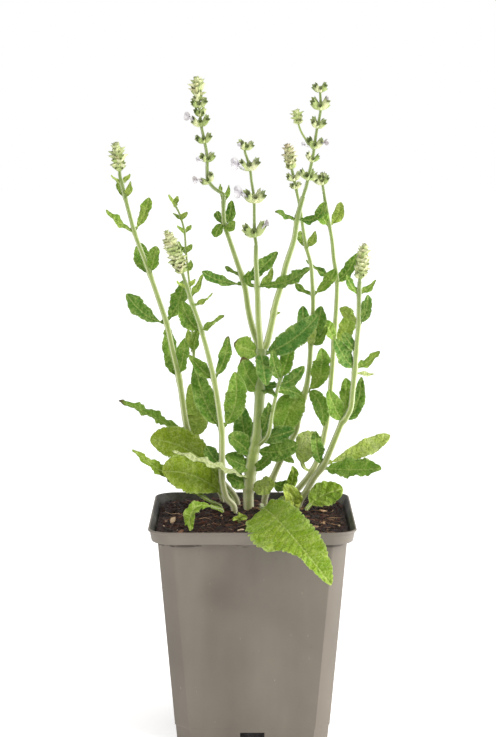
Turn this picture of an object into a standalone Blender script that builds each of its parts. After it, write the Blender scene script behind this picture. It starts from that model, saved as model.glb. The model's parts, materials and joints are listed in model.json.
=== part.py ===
"""Potted woodland sage: a square nursery pot of growing medium, leafy flowering stems and basal leaves.

Metres, +Z up. The origin is the centre of the pot's underside, on the surface that it stands on; the front
is -Y. The pot is laid out from its sizes. The plant is laid out as it is seen from one viewpoint in front of
the pot: a point is a place in that picture, in pixels across and down, and its depth behind the pot's middle,
in millimetres.
"""

import math
import random
from collections import namedtuple

import bmesh
import bpy
from mathutils import Matrix, Vector

MM = 0.001

# The viewpoint
EYE = Vector((-2.3, -1107.0, 349.4)) * MM
EYE_PITCH = math.radians(7.74)
FOCAL_PX = 2062.0
MIDDLE_ACROSS_PX, MIDDLE_DOWN_PX = 248.0, 368.5

# The pot
POT_HEIGHT = 120 * MM
POT_WALL = 1.2 * MM
FLOOR_THICKNESS = 1.6 * MM
FOOT_HEIGHT = 10 * MM
FOOT_STEP = 0.5 * MM
BASE_HALF = 40.8 * MM
BODY_HALF_TOP = 50.0 * MM
BODY_CORNER = 8 * MM
RIM_HEIGHT = 7 * MM
RIM_HALF = 53.2 * MM
RIM_CORNER = 12 * MM
LIP_HEIGHT = 1.2 * MM
LIP_HALF = 55.0 * MM
LIP_WALL = 1.0 * MM
CORNER_STEPS = 3
NOTCH_WIDTH = 13 * MM
NOTCH_HEIGHT = 8 * MM
NOTCH_REACH = 7 * MM
DRAIN_RING = 26 * MM
DRAIN_RADIUS = 3.5 * MM

# The growing medium
GAP = 0.3 * MM
SOIL_EDGE = 116.2 * MM
SOIL_MOUND = 3.4 * MM
MOUND_CENTRE = Vector((-2, 12)) * MM
MOUND_SPREAD = 26 * MM
SOIL_LUMPS = 0.8 * MM
SOIL_HALF = 51.2 * MM
SOIL_CELLS = 10
ROOTING_DEPTH = 11 * MM
STANDING_CLEAR = 2.2 * MM
HOLE_SIDES = 6

# Leaves, stems and heads
BLADE_THICKNESS = 0.7 * MM
PETIOLE_WIDTH = 2.4 * MM
PETIOLE_SHARE = 0.12
TOOTH_DEPTH = 0.2
SEGMENT_LENGTH = 5.8 * MM
ROWS_TO_ENDS = 0.55
FOLD = 0.28
MARGIN_WAVE = 1.1 * MM
WAVE_LENGTH = 11 * MM
TIP_HALF_WIDTH = 0.45 * MM
LOBE_TURNS = 2.3
LOBE_END = 0.54
LOBE_ACROSS = 0.15
HEAD_THICK = (2.2, 1.5)
HEAD_FOOT = 1.6 * MM
CALYX_FOOT = 0.9 * MM
CALYX_MOUTH = 2.0 * MM
CALYX_SIDES = 4
BRACT_SIDES = 3
BRACT_FOOT = 2.0 * MM
BRACT_PITCH = 4.0 * MM
SPIKE_CORE = 0.31
BRACTS_ROUND = 4
CYME_SPREAD = 1.2
CALYX_RISE = 0.74
SPRIG_THICK = (1.5, 1.2)

Leaf = namedtuple("Leaf", "row middle tip depth width turn widest", defaults=(0.45,))
Branch = namedtuple("Branch", "route thick leaves")
Whorl = namedtuple("Whorl", "row reach count turn")
Head = namedtuple("Head", "stem branch route whorls spikes sprigs", defaults=((),))
Spike = namedtuple("Spike", "low high width")
Sprig = namedtuple("Sprig", "row route spike")
BASAL_FIELDS = "ground thick middle tip depth width turn widest lobes stalk"
Basal = namedtuple("Basal", BASAL_FIELDS, defaults=(0.45, 0.0, 0.2))

# Each stem: where it leaves the medium in millimetres, then its branches from the root up
GROUND = {
    "stem_left_outer": (-9, 26),
    "stem_back_left": (-17, 35),
    "stem_left": (-10, 4),
    "stem_middle": (-2, 12),
    "stem_right_inner": (7, 27),
    "stem_right": (20, 34),
    "stem_right_outer": (26, 22),
}

STEMS = {
    "stem_left_outer": (
        Branch(
            ((220, 480, 27), (200, 455, 25), (191, 440, 23), (185.5, 421, 20), (181, 390, 18),
             (178, 373, 17), (172.5, 350, 15.5), (166, 321.6, 14), (149, 271.6, 11), (138.5, 244, 9),
             (134, 231, 8), (125, 197, 6), (120.6, 178.6, 5)),
            (4.6, 2.3),
            (
                Leaf(440, (155, 418, 23), (118.5, 401), 18, 10, 60),
                Leaf(440, (197.5, 415), (190, 384), 32, 15, 10),
                Leaf(381, (170, 354), (168.5, 325), 26, 9.5, 20, 0.37),
                Leaf(375, (183, 358), (185.5, 338), 10, 9.5, 35),
                Leaf(323, (144.3, 314), (126.3, 294), 8, 10.5, 30, 0.64),
                Leaf(322, (178.6, 303), (184, 280), 22, 10.5, 35, 0.5),
                Leaf(276, (142.5, 261), (141, 243), 20, 10, 15, 0.52),
                Leaf(274, (154, 259), (156.5, 246), 4, 8, 25, 0.5),
                Leaf(232, (118, 222.5), (105.8, 210), 0, 6.5, 55),
                Leaf(231, (144, 215), (149, 197.5), 12, 6.8, 25, 0.6),
                Leaf(198, (120.5, 190), (118.5, 181), 12, 4.6, 20),
                Leaf(197, (129, 191), (130.5, 181), 1, 3.6, 30),
                Leaf(184, (116, 180), (111, 175), 1, 2.6, 50),
                Leaf(184, (126, 180), (130, 174), 9, 2.6, 50),
            ),
        ),
    ),
    "stem_back_left": (
        Branch(
            ((206, 470, 40), (197, 430, 41), (194, 400, 42), (194, 360, 42), (193, 340, 42),
             (190, 290, 41), (187, 262, 40), (185.7, 247.5, 40), (184.4, 231, 39), (180, 215, 38),
             (175, 205, 37), (169, 195, 36)),
            (2.4, 1.2),
            (
                Leaf(352, (195, 341), (199, 329), 34, 6, 20),
                Leaf(352, (190, 342), (188, 330), 50, 5, 20),
                Leaf(267, (190, 267), (190.5, 260), 36, 3.6, 20),
                Leaf(252, (181, 248), (179, 241.5), 44, 3.6, 30),
                Leaf(252, (189, 249), (192, 244), 35, 3, 30),
                Leaf(232, (181, 230), (177, 225.5), 34, 3, 30),
                Leaf(232, (188, 230), (191, 225), 44, 2.6, 30),
                Leaf(218, (178, 217), (173, 213), 42, 3, 30),
                Leaf(218, (183, 217), (187.5, 212), 34, 3.2, 30),
                Leaf(206, (172, 201), (168.5, 194.5), 33, 3, 30),
                Leaf(206, (176.5, 203), (177.5, 196), 40, 3.2, 30),
            ),
        ),
    ),
    "stem_left": (
        Branch(
            ((226, 497, 3), (222, 479, 1), (222, 460, 0), (222, 440, -1), (221.4, 428.4, -2),
             (213.8, 378.8, -6), (201.5, 330.5, -10), (191, 300, -12), (185, 281, -14)),
            (4.4, 2.5),
            (
                Leaf(466, (213, 457), (206, 446), 5, 8, 20, 0.5),
                Leaf(428.4, (206, 404), (195, 366), 4, 12.5, 15, 0.5),
                Leaf(428.4, (235, 405), (234.5, 372), -9, 12.5, 10, 0.55),
                Leaf(379, (202.5, 371), (189, 355), -2, 8, 30),
                Leaf(379, (224.5, 359), (228, 336), -12, 7, 20, 0.5),
                Leaf(331, (190, 321), (181.5, 301), -4, 11, 15, 0.5),
                Leaf(330, (210.5, 325.5), (224.5, 315.5), -16, 6, 60),
                Leaf(298, (197.5, 287), (203, 274.5), -6, 4, 30),
                Leaf(305, (204, 301), (213, 293), -18, 3.2, 60),
                Leaf(288, (181, 285), (177, 281), -20, 2.6, 40),
                Leaf(288, (191, 285), (195, 279), -9, 2.6, 40),
            ),
        ),
    ),
    "stem_middle": (
        Branch(
            ((248.5, 491, 12), (252, 460, 11), (257, 435, 10), (259.5, 400, 8), (261, 348, 6)),
            (7.0, 6.2),
            (
                Leaf(488, (262, 487), (275, 486), -4, 11, 20, 0.6),
                Leaf(479, (214, 466, -11), (172, 451), -14, 6.5, 60),
                Leaf(468, (238, 463), (225, 456), 2, 12, 25),
                Leaf(449, (275, 452), (298, 444), -6, 13, 20, 0.6),
                Leaf(440, (276, 436), (295, 430), -1, 10, 20, 0.5),
                Leaf(466, (245, 437, 19), (239, 403), 21, 12.5, 10, 0.5),
                Leaf(457, (241, 444.5), (228, 436), 0, 12, 20, 0.55),
                Leaf(486, (238, 481), (226, 476), 3, 11, 20, 0.55),
                Leaf(472, (264, 463), (271, 455), -4, 6.5, 20),
                Leaf(391, (248, 377), (242, 357), -6, 13, 25),
                Leaf(389, (269, 392), (276, 398), -4, 6, 50),
                Leaf(440, (266.5, 421), (268, 402), -1, 7, 20),
                Leaf(352, (247, 349), (234, 343), -3, 13, 15, 0.55),
                Leaf(355, (292, 340), (318.5, 314.5), -14, 13, 15, 0.47),
                Leaf(352, (263, 366), (266, 386), -10, 10, 20, 0.5),
            ),
        ),
        Branch(
            ((261, 352, 6), (252.9, 329, 8), (248.4, 310, 10), (244.5, 285, 12), (237, 262, 15),
             (229.6, 240, 17), (224, 222, 19), (223.5, 197, 21)),
            (4.3, 2.4),
            (
                Leaf(284, (220.5, 281), (202, 271.5), 5, 6.5, 25, 0.6),
                Leaf(284, (261, 269), (277.7, 252), 18, 8.5, 25, 0.5),
                Leaf(276, (233, 272), (225, 266.5), 20, 3.6, 40),
                Leaf(280, (247, 278), (249, 271), 6, 4, 20),
                Leaf(223, (218.5, 229), (215.5, 237.5), 12, 6.5, 20, 0.6),
                Leaf(224, (230, 215), (231.5, 200.5), 25, 6.5, 20),
                Leaf(224, (218.5, 218), (217.5, 211), 28, 5, 20),
                Leaf(224, (230, 226.5), (235, 221), 12, 6, 20),
                Leaf(204, (221, 193.5, 25.5), (220.5, 184), 26, 2.4, 20),
                Leaf(204, (227.5, 194, 24.5), (229, 185), 25, 2.6, 20),
            ),
        ),
        Branch(
            ((261, 352, 6), (259, 329, 2), (258, 310, 0), (257.3, 287, -1), (256, 262, -2), (256, 246, -3)),
            (4.3, 2.8),
            (
                Leaf(286, (286, 282), (310, 268), -24, 8.5, 40, 0.5),
                Leaf(286, (249, 284), (247, 274), 9, 4, 30),
                Leaf(287, (268, 279), (272, 268), 5, 4.5, 20),
            ),
        ),
        Branch(
            ((262, 352, 6), (267, 343, 5), (272, 322, 2), (275.8, 303, -1), (281.6, 284, -4),
             (286, 265, -8), (294, 240, -12), (297.5, 217, -16), (303, 197, -18)),
            (4.3, 3.0),
            (
                Leaf(220, (286, 216.5), (275, 211.5), -25, 5.5, 60),
                Leaf(218, (315, 219), (326.5, 202), -24, 7, 45),
                Leaf(313, (278, 313), (280, 312), -1, 1.6, 0),
            ),
        ),
        Branch(
            ((257, 446, 10), (268, 435, 3), (272.4, 411.5, 1), (277.5, 389, 0), (281, 377.5, 0)),
            (2.8, 2.0),
            (
                Leaf(380, (275, 368), (272, 350), -4, 7, 20),
                Leaf(380, (286, 364), (291.5, 346), 6, 9, 20),
                Leaf(384, (292, 380), (304, 366), -6, 8.5, 20),
                Leaf(385, (272, 386), (265, 384), 6, 6, 30),
            ),
        ),
    ),
    "stem_right_inner": (
        Branch(
            ((271, 482, 27), (280.7, 460, 26), (287, 447, 25), (296, 430.7, 24), (300, 411, 23),
             (305.6, 391, 22), (309.4, 367, 21), (310.9, 342, 20), (313, 313, 19), (313, 294.5, 18),
             (311, 265, 17), (306, 246, 16), (302.5, 224.5, 15), (300, 207, 14), (296.6, 191, 13)),
            (4.4, 2.0),
            (
                Leaf(480, (281, 487), (287, 480), 18, 7, 35),
                Leaf(455, (276, 457), (272, 454), 20, 4, 30),
                Leaf(455, (287, 458), (294, 463), 18, 5, 30),
                Leaf(398, (290, 391), (277, 391), 8, 8, 20, 0.45),
                Leaf(391, (290, 410), (281, 438), 12, 17, 10, 0.46),
                Leaf(391, (319.5, 376), (321, 348), 14, 11, 15, 0.6),
                Leaf(390, (319, 402), (323.5, 426), 12, 9.5, 15, 0.5),
                Leaf(342, (304.5, 326), (303, 306), 28, 8.5, 15, 0.55),
                Leaf(342, (318, 325), (321.5, 306), 9, 9, 15, 0.55),
                Leaf(345, (312, 337), (314, 322), 4, 5, 10),
                Leaf(345, (321, 339), (327, 326), 14, 5, 25),
                Leaf(294.5, (303, 291), (295, 283), 26, 4.5, 40),
                Leaf(294.5, (326, 284), (336, 269), 10, 7, 20, 0.6),
                Leaf(247, (302, 241), (300, 231), 22, 5, 10, 0.55),
                Leaf(247, (313, 240), (315.5, 231), 9, 4.5, 20),
            ),
        ),
    ),
    "stem_right": (
        Branch(
            ((300, 487, 35), (313, 470, 36), (320, 452, 37), (326.8, 422, 38), (330, 392, 39),
             (332, 370, 39), (334, 341, 38), (336.4, 305, 37), (337, 280, 36), (334, 260, 35),
             (332, 240, 34), (329, 223, 33), (325.5, 203, 32)),
            (4.1, 2.2),
            (
                Leaf(470, (305, 468), (299, 454), 30, 2.2, 20),
                Leaf(441, (311, 443), (302, 463), 26, 16, 20, 0.5),
                Leaf(341, (330, 331), (321, 320), 31, 8, 30),
                Leaf(344, (346.5, 331), (350, 308), 46, 10, 20, 0.46),
                Leaf(281, (348, 271), (358, 253), 30, 7.5, 20, 0.45),
                Leaf(280, (322, 273), (306, 260), 44, 4.5, 50),
                Leaf(281, (341, 280), (345, 276), 44, 3, 20),
                Leaf(225, (322.5, 215), (325, 202), 24, 7.5, 10),
                Leaf(225, (338, 216), (340.5, 202), 40, 7, 20, 0.5),
            ),
        ),
    ),
    "stem_right_outer": (
        Branch(
            ((307, 490, 20), (314, 478, 18), (325.4, 461.4, 14), (342, 422, 8), (345, 419, 7),
             (350.7, 408, 5), (352.6, 392, 3), (355, 368, 0), (356.4, 348.5, -3), (358.5, 324.6, -6),
             (359, 294, -9), (359.6, 282, -10)),
            (4.4, 2.7),
            (
                Leaf(468, (350, 470), (381.5, 469), 2, 15.5, 45, 0.48),
                Leaf(464, (358, 452), (390, 435), 24, 10, 15, 0.6),
                Leaf(466, (317, 450), (316, 431), 4, 8, 20, 0.5),
                Leaf(421, (335, 408), (328.5, 390), 0, 10, 20),
                Leaf(421, (356.5, 406), (361.5, 377), 12, 8.5, 15, 0.42),
                Leaf(420, (346, 399), (346, 378), 22, 7, 20, 0.6),
                Leaf(373, (366, 374), (374, 374), 6, 2.4, 30),
                Leaf(369, (343.5, 356), (335, 339), -8, 10, 25),
                Leaf(352, (349, 342), (343, 333), -5, 6.5, 20),
                Leaf(368, (368, 362.5), (379.5, 351), 8, 7, 45),
                Leaf(325, (366, 311), (367.5, 295), -12, 7, 15, 0.5),
                Leaf(324.6, (350, 316), (340, 308), 2, 6, 30, 0.6),
                Leaf(294, (352, 287), (346, 275), -15, 5, 35),
                Leaf(294, (368, 289), (376, 280), -3, 4.5, 40),
            ),
        ),
    ),
}

# Each flower head: the stem and branch that it stands on, its axis, its open whorls and its dense spikes
HEADS = {
    "spike_left_outer": Head(
        "stem_left_outer",
        0,
        ((119, 165, 4.6), (116.2, 146, 4)),
        (),
        (Spike(172, 144.5, 8.8),),
    ),
    "spike_left": Head(
        "stem_left",
        0,
        ((178.5, 262, -16), (167, 233, -19)),
        (),
        (Spike(273, 233, 9.2),),
    ),
    "head_middle_left": Head(
        "stem_middle",
        1,
        ((214, 188, 22), (207.5, 178.6, 22), (207, 155.7, 22), (203.5, 136.5, 22),
         (201, 124, 22), (197, 81, 22)),
        (Whorl(183, 5.0, 4, 0.0), Whorl(162.5, 5.0, 4, 0.1), Whorl(143.5, 5.0, 4, 0.0),
         Whorl(127, 6.0, 4, 0.0), Whorl(117, 4.6, 2, 0.25), Whorl(108, 5.2, 4, 0.0)),
        (Spike(102, 81, 9.0),),
    ),
    "head_middle": Head(
        "stem_middle",
        2,
        ((254.5, 233, -3), (254.3, 215, -4), (254, 198, -4), (251.5, 181, -5),
         (249.5, 166, -5), (244.8, 151, -6), (246, 142, -6)),
        (Whorl(237.5, 7.4, 4, 0.0), Whorl(203.5, 7.2, 4, 0.05), Whorl(171, 6.4, 4, 0.0),
         Whorl(150.5, 5.2, 4, 0.1)),
        (),
    ),
    "head_middle_right": Head(
        "stem_middle",
        3,
        ((306, 187.5, -19), (308.9, 175, -20), (313, 156, -21), (316.3, 133, -22),
         (320.5, 111, -23), (320.2, 92.6, -23), (320, 88, -23)),
        (Whorl(180, 5.2, 4, 0.2), Whorl(162, 4.4, 2, 0.1), Whorl(149, 5.6, 4, 0.0), Whorl(128.5, 5.0, 4, 0.0),
         Whorl(110.5, 6.2, 4, 0.0), Whorl(92.5, 4.8, 4, 0.0)),
        (),
        (Sprig(150, ((303.5, 136, -22), (299, 126, -22), (296.6, 113, -22)), Spike(124, 112, 6.2)),),
    ),
    "spike_right_inner": Head(
        "stem_right_inner",
        0,
        ((292.2, 171, 12), (287.6, 147, 10)),
        (Whorl(189, 3.6, 4, 0.1), Whorl(181, 4.6, 4, 0.0)),
        (Spike(169, 145.5, 7.8),),
    ),
    "head_right": Head(
        "stem_right",
        0,
        ((323, 187.5, 31), (321, 176, 30)),
        (Whorl(185, 5.2, 4, 0.0), Whorl(180, 3.6, 4, 0.2)),
        (),
    ),
    "spike_right_outer": Head(
        "stem_right_outer",
        0,
        ((361.8, 268, -10), (364.3, 246.5, -11)),
        (),
        (Spike(279, 246.5, 8.6),),
    ),
}

# Each basal leaf: where its stalk leaves the medium in millimetres, and the leaf seen
BASAL_LEAVES = {
    "leaf_front": Basal((5, 4), 2.4, (285, 528, -58), (331, 585), -65, 25, 12, 0.45, 0.5, 0.1),
    "leaf_left_round": Basal((-10, 18), 2.0, (197, 456), (150, 440), 14, 20, 15, 0.62),
    "leaf_left_low": Basal((-10, 11), 2.0, (199, 478), (162, 472), -8, 22, 10, 0.6),
    "leaf_left_far": Basal((-17, 9), 1.8, (171, 478), (132, 449.5), -12, 9, 45, 0.45, 0.3),
    "leaf_front_left": Basal((-16, 0), 1.6, (197, 507), (190, 531), -40, 8, 30, 0.6),
    "leaf_right": Basal((30, 13), 2.0, (320, 497), (343, 489), 24, 15, 10, 0.5),
    "leaf_upright_pale": Basal((20, 13), 1.8, (294, 503), (284, 484), 6, 10.6, 15, 0.6),
    "leaf_upright_round": Basal((13, 19), 1.6, (291, 486), (292, 466), 12, 6, 20, 0.62),
}
SEEDLING_GROUND = (-7, -18)
SEEDLING_LEAVES = (((233, 521), 12), ((247, 519), 22), ((239, 513), 40))

COLOURS = {
    "plastic": ((0.275, 0.235, 0.195), 0.5),
    "medium": ((0.045, 0.022, 0.016), 0.95),
    "leaf": ((0.085, 0.24, 0.045), 0.6),
    "basal leaf": ((0.3, 0.48, 0.06), 0.6),
    "spike": ((0.46, 0.55, 0.22), 0.7),
}


def seen(across, down, depth):
    """The point seen at a place in the picture, at a depth behind the pot's middle."""
    right = (across - MIDDLE_ACROSS_PX) / FOCAL_PX
    up = (MIDDLE_DOWN_PX - down) / FOCAL_PX
    level, rise = math.cos(EYE_PITCH), math.sin(EYE_PITCH)
    sight = Vector((right, level + up * rise, up * level - rise))
    return EYE + sight * ((depth * MM - EYE.y) / sight.y)


def soil_height(x, y):
    """The height of the growing medium: a low mound at the crown, with lumps."""
    away = (Vector((x, y)) - MOUND_CENTRE).length / MOUND_SPREAD
    lumps = math.sin(x * 410 + 1) * math.sin(y * 370) + 0.6 * math.sin(x * 830 - y * 640)
    return SOIL_EDGE + SOIL_MOUND * math.exp(-away * away) + SOIL_LUMPS * lumps


def root_points(ground):
    """The buried end of a stem or stalk, straight down in its hole, and the place where it comes out."""
    x, y = ground[0] * MM, ground[1] * MM
    surface = soil_height(x, y)
    return [Vector((x, y, surface - ROOTING_DEPTH)), Vector((x, y, surface + STANDING_CLEAR))]


class Axis:
    """A stem's line, with its thickness falling evenly from its foot to its top."""

    def __init__(self, points, thick):
        self.points = points
        self.thick = thick
        self.travelled = [0.0]
        for a, b in zip(points, points[1:]):
            self.travelled.append(self.travelled[-1] + (b - a).length)

    def radius(self, index):
        share = self.travelled[index] / self.travelled[-1]
        return (self.thick[0] + (self.thick[1] - self.thick[0]) * share) / 2 * MM

    def at_row(self, row):
        """The point of the line that is seen in a row of the picture, and the direction of the line there."""
        for a, b in zip(self.points, self.points[1:]):
            low, high = row_of(a), row_of(b)
            if high <= row <= low:
                return a.lerp(b, (low - row) / (low - high)), (b - a).normalized()
        return self.points[-1].copy(), (self.points[-1] - self.points[-2]).normalized()


def halfway(middle, start, tip):
    """The middle of a leaf, which lies halfway back between its ends where it gives no depth of its own."""
    across, down, *depth = middle
    return seen(across, down, *(depth or [(start.y + tip.y) / 2 / MM]))


def row_of(point):
    """The row of the picture in which a point is seen."""
    away = point - EYE
    level, rise = math.cos(EYE_PITCH), math.sin(EYE_PITCH)
    return MIDDLE_DOWN_PX - FOCAL_PX * (away.y * rise + away.z * level) / (away.y * level - away.z * rise)


class LeafForm:
    """A leaf's surface: a curved midrib, a toothed or lobed outline, a fold along it and a waved margin."""

    def __init__(self, start, middle, tip, width, turn, stalk, widest, lobes=0.0):
        self.start = start
        self.pull = middle * 2 - (start + tip) / 2
        self.tip = tip
        self.half = width / 2
        self.turn = math.radians(turn)
        self.stalk = stalk
        self.swelling = math.log(0.5) / math.log(widest)
        self.lobes = lobes
        self.length = (middle - start).length + (tip - middle).length

    def midrib(self, t):
        return self.start * (1 - t) ** 2 + self.pull * (2 * t * (1 - t)) + self.tip * t**2

    def frame(self, t):
        """The direction across the blade and the direction that its upper face looks in."""
        along = ((self.pull - self.start) * (1 - t) + (self.tip - self.pull) * t).normalized()
        to_eye = EYE - self.midrib(t)
        facing = (to_eye - along * to_eye.dot(along)).normalized()
        edge = along.cross(facing)
        if edge.z < 0:
            edge.negate()
        upper = facing * math.cos(self.turn) + edge * math.sin(self.turn)
        return along.cross(upper), upper

    def half_width(self, across, t, notched):
        """Half the width on one side. A lobed leaf is broad on one side of its foot, then notched."""
        blade = max(0.0, (t - self.stalk) / (1 - self.stalk))
        swell = math.sin(math.pi * blade**self.swelling) ** 0.55 if 0 < blade < 1 else 0.0
        lobe = math.cos(min(math.pi, 2 * math.pi * LOBE_TURNS * max(0.0, t - LOBE_END)))
        lobed = 1 + self.lobes * lobe * (1 if across > 0 else -LOBE_ACROSS)
        teeth = 1 - TOOTH_DEPTH * notched
        end = PETIOLE_WIDTH / 2 if t <= self.stalk else TIP_HALF_WIDTH
        return max(end, self.half * swell * lobed * teeth)

    def point(self, across, t, notched):
        half = self.half_width(across, t, notched)
        side, upper = self.frame(t)
        wide = half / self.half
        wave = MARGIN_WAVE * wide * math.sin(t * self.length / WAVE_LENGTH * 2 * math.pi + across)
        lift = FOLD * half * abs(across) + wave * across * across
        return self.midrib(t) + side * (half * across) + upper * lift


def finish(colour):
    """The material of one sub-part."""
    tint, roughness = COLOURS[colour]
    material = bpy.data.materials.new(colour)
    material.use_nodes = True
    shader = material.node_tree.nodes["Principled BSDF"]
    shader.inputs["Base Color"].default_value = (*tint, 1.0)
    shader.inputs["Roughness"].default_value = roughness
    shader.inputs["Metallic"].default_value = 0.0
    return material


def object_from(bm, name, collection, colour=None):
    """A new object that holds a bmesh."""
    mesh = bpy.data.meshes.new(name)
    bm.to_mesh(mesh)
    bm.free()
    made = bpy.data.objects.new(name, mesh)
    collection.objects.link(made)
    if colour:
        mesh.materials.append(finish(colour))
    return made


def settled(made):
    """Apply an object's modifiers."""
    graph = bpy.context.evaluated_depsgraph_get()
    mesh = bpy.data.meshes.new_from_object(made.evaluated_get(graph))
    made.modifiers.clear()
    made.data = mesh


def join(made, pieces, operation="UNION"):
    """One Boolean with a whole collection of pieces, applied; the pieces are then removed."""
    boolean = made.modifiers.new("Join", "BOOLEAN")
    boolean.operation = operation
    boolean.operand_type = "COLLECTION"
    boolean.solver = "EXACT"
    boolean.collection = pieces
    settled(made)
    for piece in list(pieces.objects):
        bpy.data.objects.remove(piece)
    bpy.data.collections.remove(pieces)


def gathering(name):
    """A collection for the pieces that a node is joined from."""
    pieces = bpy.data.collections.new(name + " pieces")
    bpy.context.scene.collection.children.link(pieces)
    return pieces


def outline(half, corner, rounding):
    """Points round a square whose corners are cut straight, at rounding 0, to rounded, at rounding 1."""
    points = []
    for quarter in range(4):
        for step in range(CORNER_STEPS + 1):
            share = step / CORNER_STEPS
            angle = math.pi / 2 * share
            arc = Vector((math.cos(angle), math.sin(angle), 0)) * corner
            cut = Vector((1 - share, share, 0)) * corner
            centre = Vector((half - corner, half - corner, 0))
            points.append(Matrix.Rotation(math.pi / 2 * quarter, 3, "Z") @ (centre + cut.lerp(arc, rounding)))
    return points


def raise_walls(bm, face, stages):
    """Extrude a face through stages of (half width, corner, rounding, height). Gives back the last face."""
    for half, corner, rounding, height in stages:
        made = bmesh.ops.extrude_discrete_faces(bm, faces=[face])
        face = made["faces"][0]
        for loop, place in zip(face.loops, outline(half, corner, rounding)):
            loop.vert.co = place + Vector((0, 0, height))
    return face


def body_half(height):
    """Half the width of the pot's body at a height."""
    share = height / (POT_HEIGHT - RIM_HEIGHT)
    return BASE_HALF + (BODY_HALF_TOP - BASE_HALF) * share


def pot_mesh():
    """The pot's shell: up the outside, over the lip and down the inside to the floor."""
    bm = bmesh.new()
    under_rim = POT_HEIGHT - RIM_HEIGHT
    face = bm.faces.new([bm.verts.new(p) for p in outline(body_half(0) - FOOT_STEP, BODY_CORNER, 0.0)])
    inner_top = body_half(under_rim) - POT_WALL
    cup_half = RIM_HALF - POT_WALL - 0.4 * MM
    raise_walls(
        bm,
        face,
        (
            (body_half(FOOT_HEIGHT) - FOOT_STEP, BODY_CORNER, 0.0, FOOT_HEIGHT),
            (body_half(FOOT_HEIGHT), BODY_CORNER, 0.0, FOOT_HEIGHT + FOOT_STEP),
            (body_half(under_rim), BODY_CORNER, 0.3, under_rim),
            (RIM_HALF, RIM_CORNER, 1.0, under_rim + FOOT_STEP),
            (LIP_HALF - 0.6 * MM, RIM_CORNER, 1.0, POT_HEIGHT - LIP_HEIGHT),
            (LIP_HALF, RIM_CORNER, 1.0, POT_HEIGHT - LIP_HEIGHT * 0.7),
            (LIP_HALF - 0.2 * MM, RIM_CORNER, 1.0, POT_HEIGHT),
            (LIP_HALF - LIP_WALL, RIM_CORNER, 1.0, POT_HEIGHT),
            (cup_half, RIM_CORNER - POT_WALL, 1.0, under_rim + POT_WALL + FOOT_STEP),
            (inner_top, BODY_CORNER, 0.3, under_rim),
            (body_half(FLOOR_THICKNESS) - FOOT_STEP - POT_WALL, BODY_CORNER, 0.0, FLOOR_THICKNESS),
        ),
    )
    bmesh.ops.holes_fill(bm, edges=bm.edges[:])
    bmesh.ops.recalc_face_normals(bm, faces=bm.faces[:])
    return bm


def notch_and_drain_cutters(pieces):
    """A block through the foot of each side and a round hole near each corner of the floor."""
    for side in range(4):
        turn = Matrix.Rotation(math.pi / 2 * side, 4, "Z")
        place = turn @ Matrix.Translation((0, -BASE_HALF, NOTCH_HEIGHT / 2 - 1 * MM))
        size = Matrix.Diagonal((NOTCH_WIDTH, NOTCH_REACH, NOTCH_HEIGHT + 2 * MM, 1))
        bm = bmesh.new()
        bmesh.ops.create_cube(bm, size=1.0, matrix=place @ size)
        object_from(bm, f"notch cutter {side}", pieces)
        diagonal = turn @ Matrix.Translation((DRAIN_RING, DRAIN_RING, 0))
        bm = bmesh.new()
        bmesh.ops.create_cone(
            bm,
            cap_ends=True,
            segments=12,
            radius1=DRAIN_RADIUS,
            radius2=DRAIN_RADIUS,
            depth=6 * MM,
            matrix=diagonal,
        )
        object_from(bm, f"drain cutter {side}", pieces)


def make_pot(collection):
    pot = object_from(pot_mesh(), "pot", collection, "plastic")
    cutters = gathering("pot")
    notch_and_drain_cutters(cutters)
    join(pot, cutters, "DIFFERENCE")


def soil_mesh():
    """The filled inside of the pot: its lumpy top, and its sides clear of the pot's walls."""
    bm = bmesh.new()
    bmesh.ops.create_grid(bm, x_segments=SOIL_CELLS, y_segments=SOIL_CELLS, size=1.0)
    for vert in bm.verts:
        x, y = vert.co.x, vert.co.y
        squareness = max(abs(x), abs(y)) ** 8
        pinch = 1 - 0.11 * squareness * min(abs(x), abs(y)) ** 8
        x, y = x * SOIL_HALF * pinch, y * SOIL_HALF * pinch
        vert.co = Vector((x, y, soil_height(x, y)))
    bmesh.ops.triangulate(bm, faces=bm.faces[:])
    floor = FLOOR_THICKNESS + GAP
    shoulder = POT_HEIGHT - RIM_HEIGHT
    inner = body_half(shoulder) - POT_WALL - 2 * GAP
    narrow = body_half(floor) - FOOT_STEP - POT_WALL - 2 * GAP
    rim_edges = [edge for edge in bm.edges if edge.is_boundary]
    half = SOIL_HALF
    for height, wide in ((shoulder + 2.3 * MM, SOIL_HALF), (shoulder + 0.4 * MM, inner), (floor, narrow)):
        made = bmesh.ops.extrude_edge_only(bm, edges=rim_edges)["geom"]
        for vert in (g for g in made if isinstance(g, bmesh.types.BMVert)):
            vert.co = Vector((vert.co.x * wide / half, vert.co.y * wide / half, height))
        half = wide
        rim_edges = [g for g in made if isinstance(g, bmesh.types.BMEdge)]
    bmesh.ops.contextual_create(bm, geom=rim_edges)
    bmesh.ops.recalc_face_normals(bm, faces=bm.faces[:])
    return bm


def make_soil(collection, holes):
    """The growing medium, with a plain hole for each stem and stalk of (ground, thickness)."""
    soil = object_from(soil_mesh(), "growing_medium", collection, "medium")
    cutters = gathering("hole")
    for index, (ground, thick) in enumerate(holes):
        root, out = root_points(ground)
        reach = 6 * MM
        low, high = root.z - GAP, out.z + reach
        bm = bmesh.new()
        bmesh.ops.create_cone(
            bm,
            cap_ends=True,
            segments=HOLE_SIDES,
            radius1=thick / 2 * MM + 2 * GAP,
            radius2=thick / 2 * MM + 2 * GAP,
            depth=high - low,
            matrix=Matrix.Translation((root.x, root.y, (low + high) / 2)),
        )
        object_from(bm, f"hole cutter {index}", cutters)
    join(soil, cutters, "DIFFERENCE")


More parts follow.
